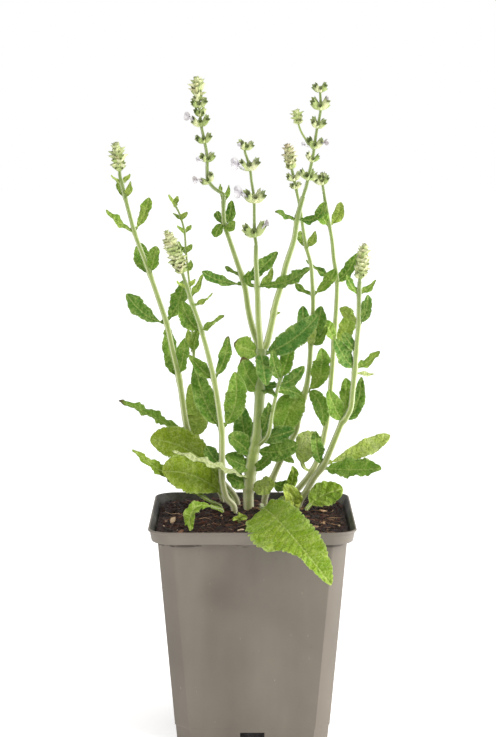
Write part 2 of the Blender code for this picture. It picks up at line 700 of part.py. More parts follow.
def tube(axis, name, collection, colour=None):
    """A square stem along an axis."""
    curve = bpy.data.curves.new(name, "CURVE")
    curve.dimensions = "3D"
    curve.bevel_depth = 1.0
    curve.bevel_resolution = 0
    curve.use_fill_caps = True
    line = curve.splines.new("POLY")
    line.points.add(len(axis.points) - 1)
    for index, (point, place) in enumerate(zip(line.points, axis.points)):
        point.co = (*place, 1.0)
        point.radius = axis.radius(index)
    drawn = bpy.data.objects.new(name, curve)
    collection.objects.link(drawn)
    graph = bpy.context.evaluated_depsgraph_get()
    mesh = bpy.data.meshes.new_from_object(drawn.evaluated_get(graph))
    bpy.data.objects.remove(drawn)
    bm = bmesh.new()
    bm.from_mesh(mesh)
    bmesh.ops.remove_doubles(bm, verts=bm.verts[:], dist=0.00001)
    return object_from(bm, name, collection, colour)


def blade(form, name, collection, colour=None):
    """A thin solid leaf with a toothed, waved outline."""
    rows = max(2, 2 * round(form.length / SEGMENT_LENGTH / 2))
    bm = bmesh.new()
    bmesh.ops.create_grid(bm, x_segments=2, y_segments=rows, size=1.0)
    for vert in bm.verts:
        even = (vert.co.y + 1) / 2
        t = even + ((1 - math.cos(math.pi * even)) / 2 - even) * ROWS_TO_ENDS
        notched = 1 - round(even * rows) % 2
        vert.co = form.point(round(vert.co.x), t, notched)
    bmesh.ops.triangulate(bm, faces=bm.faces[:], quad_method="FIXED")
    bmesh.ops.solidify(bm, geom=bm.faces[:], thickness=BLADE_THICKNESS)
    bmesh.ops.recalc_face_normals(bm, faces=bm.faces[:])
    return object_from(bm, name, collection, colour)


def leaf_on(axis, leaf):
    """A stem's leaf, from the middle of the stem."""
    start, _ = axis.at_row(leaf.row)
    tip = seen(*leaf.tip, leaf.depth)
    middle = halfway(leaf.middle, start, tip)
    return LeafForm(start, middle, tip, leaf.width * MM, leaf.turn, PETIOLE_SHARE, leaf.widest)


def make_stem(name, collection):
    """A leafy stem: its branches and leaves joined."""
    pieces = gathering(name)
    stem = None
    for number, branch in enumerate(STEMS[name]):
        points = [seen(*place) for place in branch.route]
        thick = branch.thick
        if number == 0:
            points = root_points(GROUND[name]) + points
        axis = Axis(points, thick)
        if number == 0:
            stem = tube(axis, name, collection, "leaf")
        else:
            tube(axis, f"{name} branch {number}", pieces)
        for index, leaf in enumerate(branch.leaves):
            blade(leaf_on(axis, leaf), f"{name} leaf {number} {index}", pieces)
    join(stem, pieces)


def cone(foot, tip, foot_radius, tip_radius, sides, name, pieces):
    """A small cone from its foot to its tip."""
    along = tip - foot
    bm = bmesh.new()
    bmesh.ops.create_cone(
        bm,
        cap_ends=True,
        segments=sides,
        radius1=foot_radius,
        radius2=tip_radius,
        depth=along.length,
        matrix=Matrix.Translation(foot + along / 2) @ along.to_track_quat("Z", "Y").to_matrix().to_4x4(),
    )
    bmesh.ops.remove_doubles(bm, verts=bm.verts[:], dist=0.00001)
    object_from(bm, name, pieces)


def outward(along, angle):
    """A direction square to a stem, at an angle round it from the right."""
    right = Vector((1, 0, 0))
    right = (right - along * right.dot(along)).normalized()
    return right * math.cos(angle) + along.cross(right) * math.sin(angle)


def add_spike(spike, axis, draw, pieces):
    """A dense spike: a slim core, and turns of bracts that stand out of it."""
    low, along = axis.at_row(spike.low)
    high, _ = axis.at_row(spike.high)
    turns = max(3, round((high - low).length / BRACT_PITCH))
    core_radius = spike.width * MM * SPIKE_CORE
    cone(low, high, core_radius, core_radius * 0.5, BRACTS_ROUND, "core", pieces)
    for turn in range(turns):
        share = turn / (turns - 1)
        centre = low.lerp(high, share * 0.9)
        reach = spike.width / 2 * MM * (math.sin(math.pi * (0.28 + 0.62 * share)) ** 0.8)
        for index in range(BRACTS_ROUND):
            angle = 2 * math.pi * (index + turn % 2 / 2) / BRACTS_ROUND
            side = outward(along, angle)
            foot = centre + side * core_radius * 0.5
            tip = centre + side * reach * draw.uniform(0.9, 1.0) + along * reach * (0.9 + 0.8 * share)
            cone(foot, tip, BRACT_FOOT, 0.25 * MM, BRACT_SIDES, f"bract {turn} {index}", pieces)


def make_head(name, collection):
    """A flower head: its slim axis, its whorls of open calyces and its spikes of overlapping bracts."""
    head = HEADS[name]
    draw = random.Random(name)
    below, top = (seen(*place) for place in STEMS[head.stem][head.branch].route[-2:])
    onward = (top - below).normalized()
    foot = [top + onward * GAP, top + onward * HEAD_FOOT]
    axis = Axis(foot + [seen(*place) for place in head.route], HEAD_THICK)
    made = tube(axis, name, collection, "spike")
    pieces = gathering(name)
    for number, whorl in enumerate(head.whorls):
        centre, along = axis.at_row(whorl.row)
        for index in range(whorl.count):
            spread = (index // 2 - 0.5) * CYME_SPREAD if whorl.count > 2 else 0.0
            side = outward(along, math.pi * (index % 2 + whorl.turn) + spread)
            aim = side + along * CALYX_RISE
            mouth = centre + aim * (whorl.reach * MM * draw.uniform(0.92, 1.08))
            cone(centre, mouth, CALYX_FOOT, CALYX_MOUTH, CALYX_SIDES, f"calyx {number} {index}", pieces)
    for spike in head.spikes:
        add_spike(spike, axis, draw, pieces)
    for number, sprig in enumerate(head.sprigs):
        fork, _ = axis.at_row(sprig.row)
        side_axis = Axis([fork] + [seen(*place) for place in sprig.route], SPRIG_THICK)
        tube(side_axis, f"sprig {number}", pieces)
        add_spike(sprig.spike, side_axis, draw, pieces)
    join(made, pieces)


def make_basal_leaf(name, collection):
    """A leaf of the rosette: its stalk stands in the medium and its blade leans away."""
    leaf = BASAL_LEAVES[name]
    points = root_points(leaf.ground)
    foot = points[-1]
    tip = seen(*leaf.tip, leaf.depth)
    middle = halfway(leaf.middle, foot, tip)
    form = LeafForm(foot, middle, tip, leaf.width * MM, leaf.turn, leaf.stalk, leaf.widest, leaf.lobes)
    points.append(form.midrib(leaf.stalk / 2))
    stalk = tube(Axis(points, (leaf.thick, leaf.thick * 0.8)), name, collection, "basal leaf")
    pieces = gathering(name)
    blade(form, name + " blade", pieces)
    join(stalk, pieces)


def make_seedling(collection):
    """A tiny plant: a thread of a stem with three leaves."""
    points = root_points(SEEDLING_GROUND)
    axis = Axis(points, (1.4, 1.0))
    stem = tube(axis, "seedling", collection, "basal leaf")
    pieces = gathering("seedling")
    top = points[-1] - Vector((0, 0, 0.6 * MM))
    for index, (place, turn) in enumerate(SEEDLING_LEAVES):
        tip = seen(*place, SEEDLING_GROUND[1] - 4 + 3 * index)
        middle = (top + tip) / 2 + Vector((0, 0, 1 * MM))
        blade(LeafForm(top, middle, tip, 3.2 * MM, turn, 0.1, 0.45), f"seedling leaf {index}", pieces)
    join(stem, pieces)


def main():
    for old in list(bpy.data.objects):
        bpy.data.objects.remove(old)
    sage = bpy.data.collections.new("potted_woodland_sage")
    bpy.context.scene.collection.children.link(sage)
    make_pot(sage)
    holes = [(GROUND[name], branches[0].thick[0]) for name, branches in STEMS.items()]
    holes += [(leaf.ground, leaf.thick) for leaf in BASAL_LEAVES.values()]
    holes.append((SEEDLING_GROUND, 1.4))
    make_soil(sage, holes)
    for name in STEMS:
        make_stem(name, sage)
    for name in HEADS:
        make_head(name, sage)
    for name in BASAL_LEAVES:
        make_basal_leaf(name, sage)
    make_seedling(sage)


main()
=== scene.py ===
"""Dresses the potted woodland sage: its plastic pot, peaty medium, leafy stems, heads and basal leaves.

Metres, +Z up, as in the frame. The pot is laid out from its sizes. The plant is laid out as it is seen
from one viewpoint in front of the pot: a point is a place in that picture, in pixels across and down, and
its depth behind the pot's middle, in millimetres.
"""

import json
import math
import random
from collections import namedtuple

import bmesh
import bpy
import numpy as np
from mathutils import Matrix, Vector, noise
from mathutils.geometry import interpolate_bezier

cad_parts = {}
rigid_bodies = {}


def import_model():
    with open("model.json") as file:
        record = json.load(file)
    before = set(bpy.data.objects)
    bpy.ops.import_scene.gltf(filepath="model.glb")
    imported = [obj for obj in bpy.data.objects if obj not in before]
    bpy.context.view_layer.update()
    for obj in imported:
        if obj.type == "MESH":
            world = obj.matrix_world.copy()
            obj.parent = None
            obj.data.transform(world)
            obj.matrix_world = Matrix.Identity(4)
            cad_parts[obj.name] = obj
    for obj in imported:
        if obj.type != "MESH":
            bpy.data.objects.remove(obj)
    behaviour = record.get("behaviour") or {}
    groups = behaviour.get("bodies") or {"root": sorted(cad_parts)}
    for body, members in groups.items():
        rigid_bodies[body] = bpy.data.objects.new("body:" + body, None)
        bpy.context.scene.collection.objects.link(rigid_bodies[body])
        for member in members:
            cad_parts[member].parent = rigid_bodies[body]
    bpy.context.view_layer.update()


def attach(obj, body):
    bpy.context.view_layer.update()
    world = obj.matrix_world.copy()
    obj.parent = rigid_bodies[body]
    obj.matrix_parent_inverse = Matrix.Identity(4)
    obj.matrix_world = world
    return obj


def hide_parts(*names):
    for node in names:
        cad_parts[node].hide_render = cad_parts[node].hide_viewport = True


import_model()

MM = 0.001

# The viewpoint
EYE = Vector((-2.3, -1107.0, 349.4)) * MM
EYE_PITCH = math.radians(7.74)
LEVEL, RISE = math.cos(EYE_PITCH), math.sin(EYE_PITCH)
FOCAL_PX = 2062.0
PICTURE_HEIGHT_PX = 737
SENSOR_WIDTH = 36.0
MIDDLE_ACROSS_PX, MIDDLE_DOWN_PX = 248.0, 368.5
NEAREST_SEEN = 0.05

# The studio, with each light's name, size, energy, place and aim
FLOOR_RADIUS = 6.0
SURROUND_STRENGTH = 0.72
LIGHTS = (
    ("key", 0.7, 12, (0.95, -0.85, 1.15), (0, 0, 0.2)),
    ("side", 0.5, 5, (0.8, 0.05, 0.25), (0, 0, 0.1)),
)

# The pot
POT_HEIGHT = 120 * MM
POT_WALL = 1.2 * MM
FLOOR_THICKNESS = 1.6 * MM
FOOT_HEIGHT = 10 * MM
FOOT_STEP = 0.5 * MM
BASE_HALF = 40.8 * MM
BODY_HALF_TOP = 50.0 * MM
BODY_CORNER = 8 * MM
BODY_SUPPORT = 1.4 * MM
CUT_ROUNDING = 0.08
SHOULDER_ROUNDING = 0.3
TURN_RING = 0.35 * MM
RIM_HEIGHT = 7 * MM
UNDER_RIM = POT_HEIGHT - RIM_HEIGHT
RIM_HALF = 53.2 * MM
RIM_CORNER = 12 * MM
LIP_HEIGHT = 1.2 * MM
LIP_HALF = 55.0 * MM
LIP_WALL = 1.0 * MM
CORNER_STEPS = 12
NOTCH_WIDTH = 13 * MM
NOTCH_HEIGHT = 8 * MM
NOTCH_REACH = 7 * MM
DRAIN_RING = 26 * MM
DRAIN_RADIUS = 3.5 * MM
DRAIN_SIDES = 28
CUT_PAST = 1 * MM
# The centre of a soft dark patch on the pot's front
DARK_PATCH_CENTRE = Vector((-16, -48, 84)) * MM

# The growing medium
GAP = 0.3 * MM
SOIL_EDGE = 116.2 * MM
SOIL_MOUND = 3.4 * MM
MOUND_CENTRE = Vector((-2, 12)) * MM
MOUND_SPREAD = 26 * MM
SOIL_LUMPS = 0.8 * MM
SOIL_HALF = 51.2 * MM
SOIL_CELLS = 110
SOIL_SQUARENESS = 8
SOIL_PINCH = 0.11
CRUMB_WAVES = ((190, 1.1), (480, 0.55), (1300, 0.22))
ROOTING_DEPTH = 11 * MM
STANDING_CLEAR = 2.2 * MM
CRUMB_KINDS, CHIP_KINDS, THREAD_KINDS = 5, 4, 6
CRUMB_COUNT = 1500
CHIP_COUNT = 70
FIBRE_COUNT = 420
GRAIN_COUNT = 26
CHIP_SHADES = (0.3, 0.4, 0.5, 0.62, 0.85)
FIBRE_SHADES = (0.35, 0.5, 0.6, 0.72, 0.85)
# Large pale chips: across, back, length and shade
PALE_CHIPS = ((-43, -12, 6.0, 0.92), (-31, 30, 5.0, 0.7), (34, -22, 6.5, 0.85), (-6, -37, 4.5, 0.95))

# Leaves
LEAF_THICKNESS = 0.42 * MM
LEAF_ROW = 0.5 * MM
LEAF_COLUMNS = 12
BASAL_COLUMNS = 24
PETIOLE_WIDTH = 2.4 * MM
PETIOLE_SHARE = 0.12
TOOTH_DEPTH = 1.6 * MM
TOOTH_SHARE = 0.12
TEETH_PER_VEIN = 1.75
TOOTH_DRIFT = 1.3
TOOTH_ROUNDING = 0.7
TOOTH_LEAST, TOOTH_MIDDLE, TOOTH_SPREAD = 0.2, 0.75, 0.9
MARGIN_POWER = 8
BLADE_FULLNESS = 0.55
FOLD = 0.28
MARGIN_WAVE = 1.1 * MM
WAVE_LENGTH = 11 * MM
RUFFLE = 0.5 * MM
RUFFLE_SHARE = 0.1
RUFFLE_LENGTH = 4.1 * MM
RUFFLE_DRIFT, RUFFLE_PACE = 2.5, 150
TIP_HALF_WIDTH = 0.45 * MM
LOBE_TURNS = 2.3
LOBE_END = 0.54
LOBE_ACROSS = 0.15
VEIN_PITCH = 3.1 * MM
BASAL_VEIN_PITCH = 5.2 * MM
VEIN_LEAN = 0.75
BASAL_DRYNESS = 0.12
DRY_FROM = 0.72
EDGE_DRYNESS = 0.25
WELD = 0.002 * MM
QUILTING = 0.42 * MM
QUILT_LUMPS, LUMP_PACE = 0.6, 650
SKIN_POWER = 6
END_TAPER = 30
MIDRIB_DEPTH = 0.8 * MM
MIDRIB_THINNING = 0.8
MIDRIB_CHANNEL = 0.12 * MM
MIDRIB_HALF_WIDTH = 0.55 * MM
SMALL_LEAF = 5

# Stems
STEM_SIDES = 16
THIN_SIDES = 12
BURIED_RINGS = 6
STEM_RING = 1.6 * MM
STEM_FULLNESS = 1.04
STALK_SQUARE, AXIS_SQUARE, PETIOLE_SQUARE, SEEDLING_SQUARE = 0.12, 0.1, 0.06, 0.05
NODE_SWELL = 0.24
NODE_REACH = 1.8 * MM
HAIR_SPACING = 0.11 * MM
HAIR_LENGTH = 0.85 * MM
HAIR_RADIUS = 0.045 * MM
HAIR_SUNK = 0.05 * MM

# Heads
SHAPE_WELD = 0.0001
# A bract or petal: how broad it starts, how low it is widest, and how fast its ends thin
SCALE_FOOT, SCALE_SWELLING, SCALE_ENDS = 0.06, 0.75, 8
HEAD_THICK = (2.2, 1.5)
SPRIG_THICK = (1.5, 1.2)
HEAD_FOOT = 1.6 * MM
BRACT_PITCH = 1.6 * MM
BRACTS_ROUND = 6
CYME_SPREAD = 1.2
CALYX_RISE = 0.74
# The calyces of half a whorl: how far round each stands and how long it is, in a full and in a thin one
FULL_CYME = ((-0.5, 1.0), (0.5, 0.95), (0.05, 0.7), (1.25, 0.66))
THIN_CYME = ((0.0, 1.0), (0.4, 0.75), (1.25, 0.66))
# A corolla: how far back its neck is, its tube's length past the neck and its breadth, how far apart its
# hood and lip point, and its style
NECK_SHARE = 0.4
TUBE_OVER, TUBE_BREADTH = 1.1, 0.9
LIPS_APART = 0.6
STYLE_OVER = 1.1
STYLE_RADIUS = 0.12 * MM
# A calyx one unit high, as radius and height up its outside and down its inside
CALYX_OUTSIDE = ((0, 0), (0.06, 0.02), (0.06, 0.12), (0.17, 0.27), (0.24, 0.52), (0.25, 0.9))
CALYX_INSIDE = ((0.2, 0.84), (0.16, 0.62), (0.0, 0.45))
CALYX_SIDES = 10
# Its flutes from a furrow to a ridge, the horns and notches of its mouth, and how it bows forward
FLUTED_FROM = 0.3
CALYX_FLUTES = (0.92, 1.08)
MOUTH_FROM, MOUTH_DEPTH = 0.6, 0.3
CALYX_HORN, CALYX_NOTCH = 0.1, 0.06
LIP_RISE = 0.25
CALYX_BOW = 0.2
# What the small leafy bract under a whorl measures of its calyces
BOAT_LENGTH = 0.72
# A dense spike: the fewest turns it has, the angle from turn to turn as a share of a bract's, and how
# much of its length the turns' centres take
LEAST_TURNS = 5
TURN_SHIFT = 0.42
SPIKE_FILLED = 0.92
# Its breadth, as shares of half a wave from foot to top, and how its bracts and buds rise and close
SPIKE_FOOT, SPIKE_RUN, SPIKE_FULLNESS = 0.28, 0.62, 0.8
BRACT_RISE, TOP_RISE = 0.7, 1.1
TOP_CLOSING = 0.45
BRACT_LEAN = 0.3
BRACT_OVER = 1.1
FOOT_BREADTH = 0.25
# The share of buds that are horned calyces, low down, and how that falls to the top
HORNED_SHARE, HORNED_FALL = 0.4, 0.5

Leaf = namedtuple("Leaf", "row middle tip depth width turn tint widest dry", defaults=(0.45, 0.15))
Branch = namedtuple("Branch", "route thick leaves")
Whorl = namedtuple("Whorl", "row reach count turn")
Head = namedtuple("Head", "stem branch route whorls spikes sprigs", defaults=((),))
Spike = namedtuple("Spike", "low high width")
Sprig = namedtuple("Sprig", "row route spike")
BASAL_FIELDS = "ground thick middle tip depth width turn tint widest lobes stalk"
Basal = namedtuple("Basal", BASAL_FIELDS, defaults=(0.45, 0.0, 0.2))
Bloom = namedtuple("Bloom", "row mouth depth size")
Section = namedtuple("Section", "middle side upper half margins lobe travelled blade share")

# Each stem: where it leaves the medium in millimetres, then its branches from the root up
GROUND = {
    "stem_left_outer": (-9, 26),
    "stem_back_left": (-17, 35),
    "stem_left": (-10, 4),
    "stem_middle": (-2, 12),
    "stem_right_inner": (7, 27),
    "stem_right": (20, 34),
    "stem_right_outer": (26, 22),
}

STEMS = {
    "stem_left_outer": (
        Branch(
            ((220, 480, 27), (200, 455, 25), (191, 440, 23), (185.5, 421, 20), (181, 390, 18),
             (178, 373, 17), (172.5, 350, 15.5), (166, 321.6, 14), (149, 271.6, 11), (138.5, 244, 9),
             (134, 231, 8), (125, 197, 6), (120.6, 178.6, 5)),
            (4.6, 2.3),
            (
                Leaf(440, (155, 418, 23), (118.5, 401), 18, 10, 60, 0.4, 0.45, 0.8),
                Leaf(440, (197.5, 415), (190, 384), 32, 15, 10, 0.65),
                Leaf(381, (170, 354), (168.5, 325), 26, 9.5, 20, 0.4, 0.37),
                Leaf(375, (183, 358), (185.5, 338), 10, 9.5, 35, 0.35),
                Leaf(323, (144.3, 314), (126.3, 294), 8, 10.5, 30, 0.15, 0.64),
                Leaf(322, (178.6, 303), (184, 280), 22, 10.5, 35, 0.3, 0.5),
                Leaf(276, (142.5, 261), (141, 243), 20, 10, 15, 0.35, 0.52),
                Leaf(274, (154, 259), (156.5, 246), 4, 8, 25, 0.45, 0.5),
                Leaf(232, (118, 222.5), (105.8, 210), 0, 6.5, 55, 0.5),
                Leaf(231, (144, 215), (149, 197.5), 12, 6.8, 25, 0.5, 0.6),
                Leaf(198, (120.5, 190), (118.5, 181), 12, 4.6, 20, 0.5),
                Leaf(197, (129, 191), (130.5, 181), 1, 3.6, 30, 0.6),
                Leaf(184, (116, 180), (111, 175), 1, 2.6, 50, 0.7),
                Leaf(184, (126, 180), (130, 174), 9, 2.6, 50, 0.7),
            ),
        ),
    ),
    "stem_back_left": (
        Branch(
            ((206, 470, 40), (197, 430, 41), (194, 400, 42), (194, 360, 42), (193, 340, 42),
             (190, 290, 41), (187, 262, 40), (185.7, 247.5, 40), (184.4, 231, 39), (180, 215, 38),
             (175, 205, 37), (169, 195, 36)),
            (2.4, 1.2),
            (
                Leaf(352, (195, 341), (199, 329), 34, 6, 20, 0.45),
                Leaf(352, (190, 342), (188, 330), 50, 5, 20, 0.6),
                Leaf(267, (190, 267), (190.5, 260), 36, 3.6, 20, 0.5),
                Leaf(252, (181, 248), (179, 241.5), 44, 3.6, 30, 0.55),
                Leaf(252, (189, 249), (192, 244), 35, 3, 30, 0.5),
                Leaf(232, (181, 230), (177, 225.5), 34, 3, 30, 0.5),
                Leaf(232, (188, 230), (191, 225), 44, 2.6, 30, 0.55),
                Leaf(218, (178, 217), (173, 213), 42, 3, 30, 0.5),
                Leaf(218, (183, 217), (187.5, 212), 34, 3.2, 30, 0.55),
                Leaf(206, (172, 201), (168.5, 194.5), 33, 3, 30, 0.6),
                Leaf(206, (176.5, 203), (177.5, 196), 40, 3.2, 30, 0.55),
            ),
        ),
    ),
    "stem_left": (
        Branch(
            ((226, 497, 3), (222, 479, 1), (222, 460, 0), (222, 440, -1), (221.4, 428.4, -2),
             (213.8, 378.8, -6), (201.5, 330.5, -10), (191, 300, -12), (185, 281, -14)),
            (4.4, 2.5),
            (
                Leaf(466, (213, 457), (206, 446), 5, 8, 20, 0.2, 0.5),
                Leaf(428.4, (206, 404), (195, 366), 4, 12.5, 15, 0.3, 0.5),
                Leaf(428.4, (235, 405), (234.5, 372), -9, 12.5, 10, 0.4, 0.55),
                Leaf(379, (202.5, 371), (189, 355), -2, 8, 30, 0.35),
                Leaf(379, (224.5, 359), (228, 336), -12, 7, 20, 0.35, 0.5, 0.7),
                Leaf(331, (190, 321), (181.5, 301), -4, 11, 15, 0.4, 0.5),
                Leaf(330, (210.5, 325.5), (224.5, 315.5), -16, 6, 60, 0.5, 0.45, 0.6),
                Leaf(298, (197.5, 287), (203, 274.5), -6, 4, 30, 0.6),
                Leaf(305, (204, 301), (213, 293), -18, 3.2, 60, 0.6),
                Leaf(288, (181, 285), (177, 281), -20, 2.6, 40, 0.7),
                Leaf(288, (191, 285), (195, 279), -9, 2.6, 40, 0.7),
            ),
        ),
    ),
    "stem_middle": (
        Branch(
            ((248.5, 491, 12), (252, 460, 11), (257, 435, 10), (259.5, 400, 8), (261, 348, 6)),
            (7.0, 6.2),
            (
                Leaf(488, (262, 487), (275, 486), -4, 11, 20, 0.7, 0.6),
                Leaf(479, (214, 466, -11), (172, 451), -14, 6.5, 60, 1.0, 0.45, 0.1),
                Leaf(468, (238, 463), (225, 456), 2, 12, 25, 0.3),
                Leaf(449, (275, 452), (298, 444), -6, 13, 20, 0.25, 0.6),
                Leaf(440, (276, 436), (295, 430), -1, 10, 20, 0.1, 0.5),
                Leaf(466, (245, 437, 19), (239, 403), 21, 12.5, 10, 0.15, 0.5),
                Leaf(457, (241, 444.5), (228, 436), 0, 12, 20, 0.25, 0.55),
                Leaf(486, (238, 481), (226, 476), 3, 11, 20, 0.3, 0.55),
                Leaf(472, (264, 463), (271, 455), -4, 6.5, 20, 0.3),
                Leaf(391, (248, 377), (242, 357), -6, 13, 25, 0.35, 0.45, 0.9),
                Leaf(389, (269, 392), (276, 398), -4, 6, 50, 0.1),
                Leaf(440, (266.5, 421), (268, 402), -1, 7, 20, 0.2),
                Leaf(352, (247, 349), (234, 343), -3, 13, 15, 0.5, 0.55, 0.8),
                Leaf(355, (292, 340), (318.5, 314.5), -14, 13, 15, 0.05, 0.47),
                Leaf(352, (263, 366), (266, 386), -10, 10, 20, 0.15, 0.5),
            ),
        ),
        Branch(
            ((261, 352, 6), (252.9, 329, 8), (248.4, 310, 10), (244.5, 285, 12), (237, 262, 15),
             (229.6, 240, 17), (224, 222, 19), (223.5, 197, 21)),
            (4.3, 2.4),
            (
                Leaf(284, (220.5, 281), (202, 271.5), 5, 6.5, 25, 0.15, 0.6),
                Leaf(284, (261, 269), (277.7, 252), 18, 8.5, 25, 0.2, 0.5, 0.5),
                Leaf(276, (233, 272), (225, 266.5), 20, 3.6, 40, 0.3),
                Leaf(280, (247, 278), (249, 271), 6, 4, 20, 0.4),
                Leaf(223, (218.5, 229), (215.5, 237.5), 12, 6.5, 20, 0.4, 0.6),
                Leaf(224, (230, 215), (231.5, 200.5), 25, 6.5, 20, 0.3),
                Leaf(224, (218.5, 218), (217.5, 211), 28, 5, 20, 0.3),
                Leaf(224, (230, 226.5), (235, 221), 12, 6, 20, 0.5),
                Leaf(204, (221, 193.5, 25.5), (220.5, 184), 26, 2.4, 20, 0.5),
                Leaf(204, (227.5, 194, 24.5), (229, 185), 25, 2.6, 20, 0.5),
            ),
        ),
        Branch(
            ((261, 352, 6), (259, 329, 2), (258, 310, 0), (257.3, 287, -1), (256, 262, -2), (256, 246, -3)),
            (4.3, 2.8),
            (
                Leaf(286, (286, 282), (310, 268), -24, 8.5, 40, 0.25, 0.5, 0.5),
                Leaf(286, (249, 284), (247, 274), 9, 4, 30, 0.35),
                Leaf(287, (268, 279), (272, 268), 5, 4.5, 20, 0.5),
            ),
        ),
        Branch(
            ((262, 352, 6), (267, 343, 5), (272, 322, 2), (275.8, 303, -1), (281.6, 284, -4),
             (286, 265, -8), (294, 240, -12), (297.5, 217, -16), (303, 197, -18)),
            (4.3, 3.0),
            (
                Leaf(220, (286, 216.5), (275, 211.5), -25, 5.5, 60, 0.3, 0.45, 0.8),
                Leaf(218, (315, 219), (326.5, 202), -24, 7, 45, 0.25),
                Leaf(313, (278, 313), (280, 312), -1, 1.6, 0, 0.6),
            ),
        ),
        Branch(
            ((257, 446, 10), (268, 435, 3), (272.4, 411.5, 1), (277.5, 389, 0), (281, 377.5, 0)),
            (2.8, 2.0),
            (
                Leaf(380, (275, 368), (272, 350), -4, 7, 20, 0.3),
                Leaf(380, (286, 364), (291.5, 346), 6, 9, 20, 0.35),
                Leaf(384, (292, 380), (304, 366), -6, 8.5, 20, 0.15),
                Leaf(385, (272, 386), (265, 384), 6, 6, 30, 0.2),
            ),
        ),
    ),
    "stem_right_inner": (
        Branch(
            ((271, 482, 27), (280.7, 460, 26), (287, 447, 25), (296, 430.7, 24), (300, 411, 23),
             (305.6, 391, 22), (309.4, 367, 21), (310.9, 342, 20), (313, 313, 19), (313, 294.5, 18),
             (311, 265, 17), (306, 246, 16), (302.5, 224.5, 15), (300, 207, 14), (296.6, 191, 13)),
            (4.4, 2.0),
            (
                Leaf(480, (281, 487), (287, 480), 18, 7, 35, 0.3),
                Leaf(455, (276, 457), (272, 454), 20, 4, 30, 0.3),
                Leaf(455, (287, 458), (294, 463), 18, 5, 30, 0.3),
                Leaf(398, (290, 391), (277, 391), 8, 8, 20, 0.3, 0.45),
                Leaf(391, (290, 410), (281, 438), 12, 17, 10, 0.5, 0.46),
                Leaf(391, (319.5, 376), (321, 348), 14, 11, 15, 0.45, 0.6),
                Leaf(390, (319, 402), (323.5, 426), 12, 9.5, 15, 0.3, 0.5),
                Leaf(342, (304.5, 326), (303, 306), 28, 8.5, 15, 0.1, 0.55),
                Leaf(342, (318, 325), (321.5, 306), 9, 9, 15, 0.15, 0.55),
                Leaf(345, (312, 337), (314, 322), 4, 5, 10, 0.7),
                Leaf(345, (321, 339), (327, 326), 14, 5, 25, 0.3),
                Leaf(294.5, (303, 291), (295, 283), 26, 4.5, 40, 0.3, 0.45, 0.6),
                Leaf(294.5, (326, 284), (336, 269), 10, 7, 20, 0.45, 0.6),
                Leaf(247, (302, 241), (300, 231), 22, 5, 10, 0.5, 0.55),
                Leaf(247, (313, 240), (315.5, 231), 9, 4.5, 20, 0.6),
            ),
        ),
    ),
    "stem_right": (
        Branch(
            ((300, 487, 35), (313, 470, 36), (320, 452, 37), (326.8, 422, 38), (330, 392, 39),
             (332, 370, 39), (334, 341, 38), (336.4, 305, 37), (337, 280, 36), (334, 260, 35),
             (332, 240, 34), (329, 223, 33), (325.5, 203, 32)),
            (4.1, 2.2),
            (
                Leaf(470, (305, 468), (299, 454), 30, 2.2, 20, 0.9, 0.45, 1.0),
                Leaf(441, (311, 443), (302, 463), 26, 16, 20, 0.75, 0.5, 0.0),
                Leaf(341, (330, 331), (321, 320), 31, 8, 30, 0.5),
                Leaf(344, (346.5, 331), (350, 308), 46, 10, 20, 0.6, 0.46),
                Leaf(281, (348, 271), (358, 253), 30, 7.5, 20, 0.3, 0.45),
                Leaf(280, (322, 273), (306, 260), 44, 4.5, 50, 0.2),
                Leaf(281, (341, 280), (345, 276), 44, 3, 20, 0.65),
                Leaf(225, (322.5, 215), (325, 202), 24, 7.5, 10, 0.45),
                Leaf(225, (338, 216), (340.5, 202), 40, 7, 20, 0.65, 0.5),
            ),
        ),
    ),
    "stem_right_outer": (
        Branch(
            ((307, 490, 20), (314, 478, 18), (325.4, 461.4, 14), (342, 422, 8), (345, 419, 7),
             (350.7, 408, 5), (352.6, 392, 3), (355, 368, 0), (356.4, 348.5, -3), (358.5, 324.6, -6),
             (359, 294, -9), (359.6, 282, -10)),
            (4.4, 2.7),
            (
                Leaf(468, (350, 470), (381.5, 469), 2, 15.5, 45, 0.35, 0.48),
                Leaf(464, (358, 452), (390, 435), 24, 10, 15, 0.75, 0.6),
                Leaf(466, (317, 450), (316, 431), 4, 8, 20, 0.25, 0.5),
                Leaf(421, (335, 408), (328.5, 390), 0, 10, 20, 0.4, 0.45, 0.5),
                Leaf(421, (356.5, 406), (361.5, 377), 12, 8.5, 15, 0.2, 0.42),
                Leaf(420, (346, 399), (346, 378), 22, 7, 20, 0.5, 0.6),
                Leaf(373, (366, 374), (374, 374), 6, 2.4, 30, 0.8),
                Leaf(369, (343.5, 356), (335, 339), -8, 10, 25, 0.15),
                Leaf(352, (349, 342), (343, 333), -5, 6.5, 20, 0.15),
                Leaf(368, (368, 362.5), (379.5, 351), 8, 7, 45, 0.5, 0.45, 0.7),
                Leaf(325, (366, 311), (367.5, 295), -12, 7, 15, 0.1, 0.5),
                Leaf(324.6, (350, 316), (340, 308), 2, 6, 30, 0.6, 0.6),
                Leaf(294, (352, 287), (346, 275), -15, 5, 35, 0.35, 0.45, 0.5),
                Leaf(294, (368, 289), (376, 280), -3, 4.5, 40, 0.5),
            ),
        ),
    ),
}

